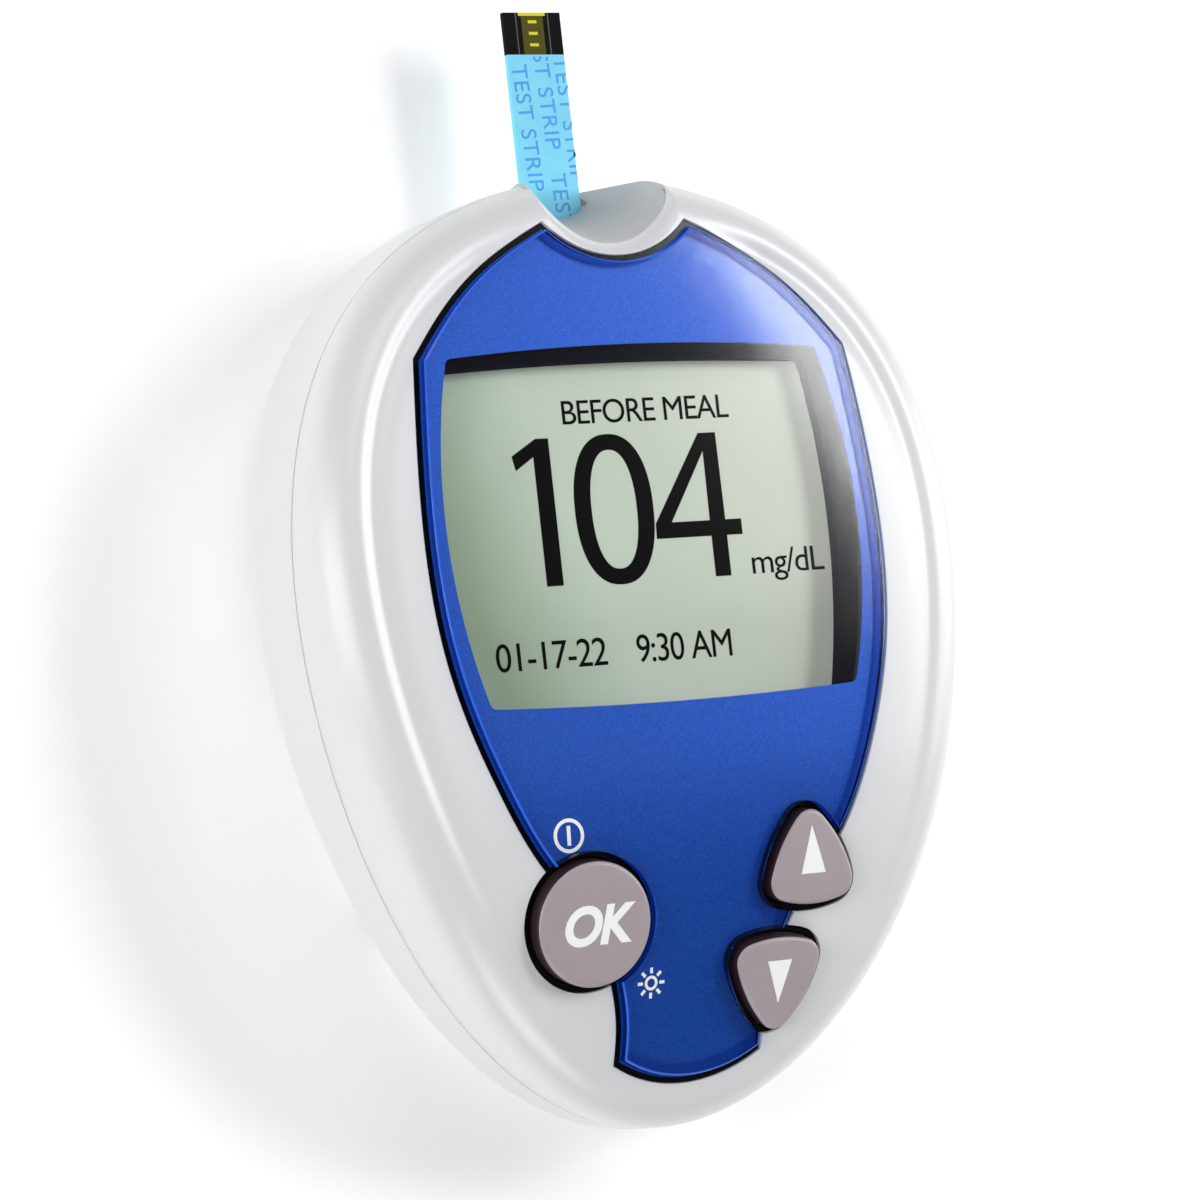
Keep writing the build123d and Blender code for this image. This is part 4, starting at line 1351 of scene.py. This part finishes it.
class METER_OT_finishes(bpy.types.Operator):
    """All the meter's materials"""
    bl_idname = "meter.finishes"
    bl_label = "Finishes"

    def execute(self, context):
        seen = looks()
        finishes.update({
            "casing": casing_finish(tuple(seen.casing_colour)),
            "film": film_finish(tuple(seen.faceplate_colour)),
            "lens": clear_finish("faceplate_clear", 0.08),
            # The clear lens's edge is painted: dark shade on its side, a light blue highlight on its bevel.
            "lens_side_painted_shade": painted_edge_shade_finish("faceplate_edge_painted_shade", (0.35, 0.5, 0.9), (0.002, 0.006, 0.05)),
            "lens_bevel_painted_highlight": plain_finish("faceplate_bevel_painted_highlight", (0.02, 0.13, 0.75), 0.15),
            "tray": plain_finish("tray_black", (0.002, 0.002, 0.003), 0.12, depth=0.001, specular=0.25),
            "frame": plain_finish("frame_navy", (0.003, 0.0035, 0.012), 0.8, specular=0.02),
            "lcd": lcd_finish(tuple(seen.lcd_colour)),
            "lcd_ink": plain_finish("lcd_figures", (0.001, 0.001, 0.001), 0.9, depth=0.0005, specular=0.0),
            "strip_ink": plain_finish("strip_ink", (0.01, 0.30, 0.82), 0.45, depth=0.0005),
            "button": plain_finish("button_grey", tuple(seen.button_colour), 0.42, grain=0.18,
                                   depth=0.003, spread=0.03, coat=0.15, coat_rough=0.3),
            # Dark sides of the caps: keymat colour and painted shade.
            "button_side_and_painted_shade": plain_finish("button_keymat_and_painted_shade", (0.035, 0.018, 0.02), 0.4, grain=0.18,
                                        depth=0.003, specular=0.3),
            "white_print": plain_finish("white_print", (0.95, 0.95, 0.95), 0.5, depth=0.0005, spread=0.01),
            "strip": strip_finish(tuple(seen.strip_colour)),
            "port": plain_finish("port_grey", tuple(seen.port_colour), 0.45, spread=0.03),
            "steel": plain_finish("plated_steel", (0.62, 0.62, 0.63), 0.28, metallic=1.0),
            "gold": plain_finish("plated_gold", (0.8, 0.55, 0.2), 0.25, metallic=1.0),
            "jack": plain_finish("jack_black", (0.02, 0.02, 0.022), 0.4),
            "connector": plain_finish("connector_black", (0.025, 0.025, 0.027), 0.5),
            "chip": plain_finish("chip_epoxy", (0.015, 0.015, 0.016), 0.55),
            "tantalum": plain_finish("capacitor_case", (0.55, 0.3, 0.05), 0.45),
            "guide": plain_finish("light_guide", (0.75, 0.78, 0.75), 0.35),
            "led": plain_finish("led_resin", (0.8, 0.78, 0.5), 0.3),
            "zebra": ribbed_finish("zebra_stripes", (0.02, 0.02, 0.02), (0.35, 0.33, 0.33), 0.25),
            "board": board_finish((0.012, 0.13, 0.045)),
            "cell_left": cell_finish("left"),
            "cell_right": cell_finish("right"),
        })
        return {"FINISHED"}


# ---- stage ----
CAMERA_TURNS = (6.2727, -4.4275, 29.045)    # degrees about Z, X and Y
CAMERA_SHIFT, CAMERA_AIM, CAMERA_LENS = (-3.449, -6.4895, -404.184), (0, 0.75, -0.8), 141.348


def lamp(name, place, size, watts, aim=(0, 0, 10), turn=0.0):
    """Rectangular soft light that looks at a point, turned in its own plane by some degrees."""
    deselect()
    bpy.ops.object.light_add(type="AREA")
    light = bpy.context.object
    light.name = name
    light.data.shape = "RECTANGLE"
    light.data.size, light.data.size_y = size[0] * MM, size[1] * MM
    light.data.energy = watts
    place, aim = Vector(place) * MM, Vector(aim) * MM
    light.location = place
    look = (aim - place).to_track_quat("-Z", "Y") @ Quaternion((0, 0, 1), math.radians(turn))
    light.rotation_euler = look.to_euler()


class METER_OT_stage(bpy.types.Operator):
    """Pale floor, soft studio lights and the camera"""
    bl_idname = "meter.stage"
    bl_label = "Stage"

    def execute(self, context):
        deselect()
        bpy.ops.mesh.primitive_plane_add(size=6.0, location=(0, 0, -0.0002))
        floor = bpy.context.object
        floor.name = "floor"
        made = Finish("floor_paper", (0.94, 0.94, 0.94), 0.9, specular=0.1)
        made.paint(made.ramp(made.noise(40), [(0.3, (0.93, 0.93, 0.93)), (0.7, (0.95, 0.95, 0.95))]))
        made.glow((1, 1, 1), 0.18)
        floor.data.materials.append(made.material)
        lamp("left_softbox", (-480, 40, 190), (200, 420), 1.5)
        lamp("overhead_softbox", (-60, 330, 460), (260, 260), 0.55)
        lamp("mirror_softbox", (268.4, 136.1, 345.9), (190, 84), 0.8,
             aim=(46.6, 63.7, -38.9), turn=-6.7)
        lamp("right_softbox", (450, 60, 190), (160, 420), 1.0)
        lamp("end_softbox", (-60, -460, 220), (300, 160), 0.8)
        world = bpy.data.worlds.new("studio")
        context.scene.world = world
        world.use_nodes = True
        background = world.node_tree.nodes["Background"]
        background.inputs["Color"].default_value = (1, 1, 1, 1)
        background.inputs["Strength"].default_value = 0.12
        context.scene.view_settings.view_transform = "Standard"

        deselect()
        bpy.ops.object.camera_add()
        camera = context.object
        camera.name = "camera"
        turn = (Matrix.Rotation(math.radians(CAMERA_TURNS[0]), 3, "Z")
                @ Matrix.Rotation(math.radians(CAMERA_TURNS[1]), 3, "X")
                @ Matrix.Rotation(math.radians(CAMERA_TURNS[2]), 3, "Y"))
        shift = Vector(CAMERA_SHIFT) + turn @ Vector(CAMERA_AIM)
        back = turn.transposed()
        camera.matrix_world = Matrix.Translation(-(back @ shift) * MM) @ back.to_4x4()
        camera.data.sensor_width = 36
        camera.data.lens = CAMERA_LENS
        camera.data.clip_start = 0.01
        context.scene.camera = camera
        return {"FINISHED"}


class METER_PT_sidebar(bpy.types.Panel):
    """Builds the meter's pieces in order"""
    bl_label = "Blood glucose meter"
    bl_idname = "METER_PT_sidebar"
    bl_space_type = "VIEW_3D"
    bl_region_type = "UI"
    bl_category = "Meter"

    def draw(self, context):
        for name in MeterLooks.__annotations__:
            self.layout.prop(context.scene.meter_looks, name)
        for operator in OPERATORS:
            self.layout.operator(operator.bl_idname)


OPERATORS = (METER_OT_finishes, METER_OT_stage, METER_OT_front_case, METER_OT_rear_case, METER_OT_faceplate,
             METER_OT_display, METER_OT_buttons, METER_OT_signs, METER_OT_strip, METER_OT_hardware)


def register():
    for item in (MeterLooks, *OPERATORS, METER_PT_sidebar):
        bpy.utils.register_class(item)
    bpy.types.Scene.meter_looks = PointerProperty(type=MeterLooks)


def unregister():
    del bpy.types.Scene.meter_looks
    for item in reversed((MeterLooks, *OPERATORS, METER_PT_sidebar)):
        bpy.utils.unregister_class(item)


def main():
    register()
    for operator in OPERATORS:
        group, name = operator.bl_idname.split(".")
        getattr(getattr(bpy.ops, group), name)()
    bpy.context.view_layer.update()


if __name__ == "__main__":
    main()
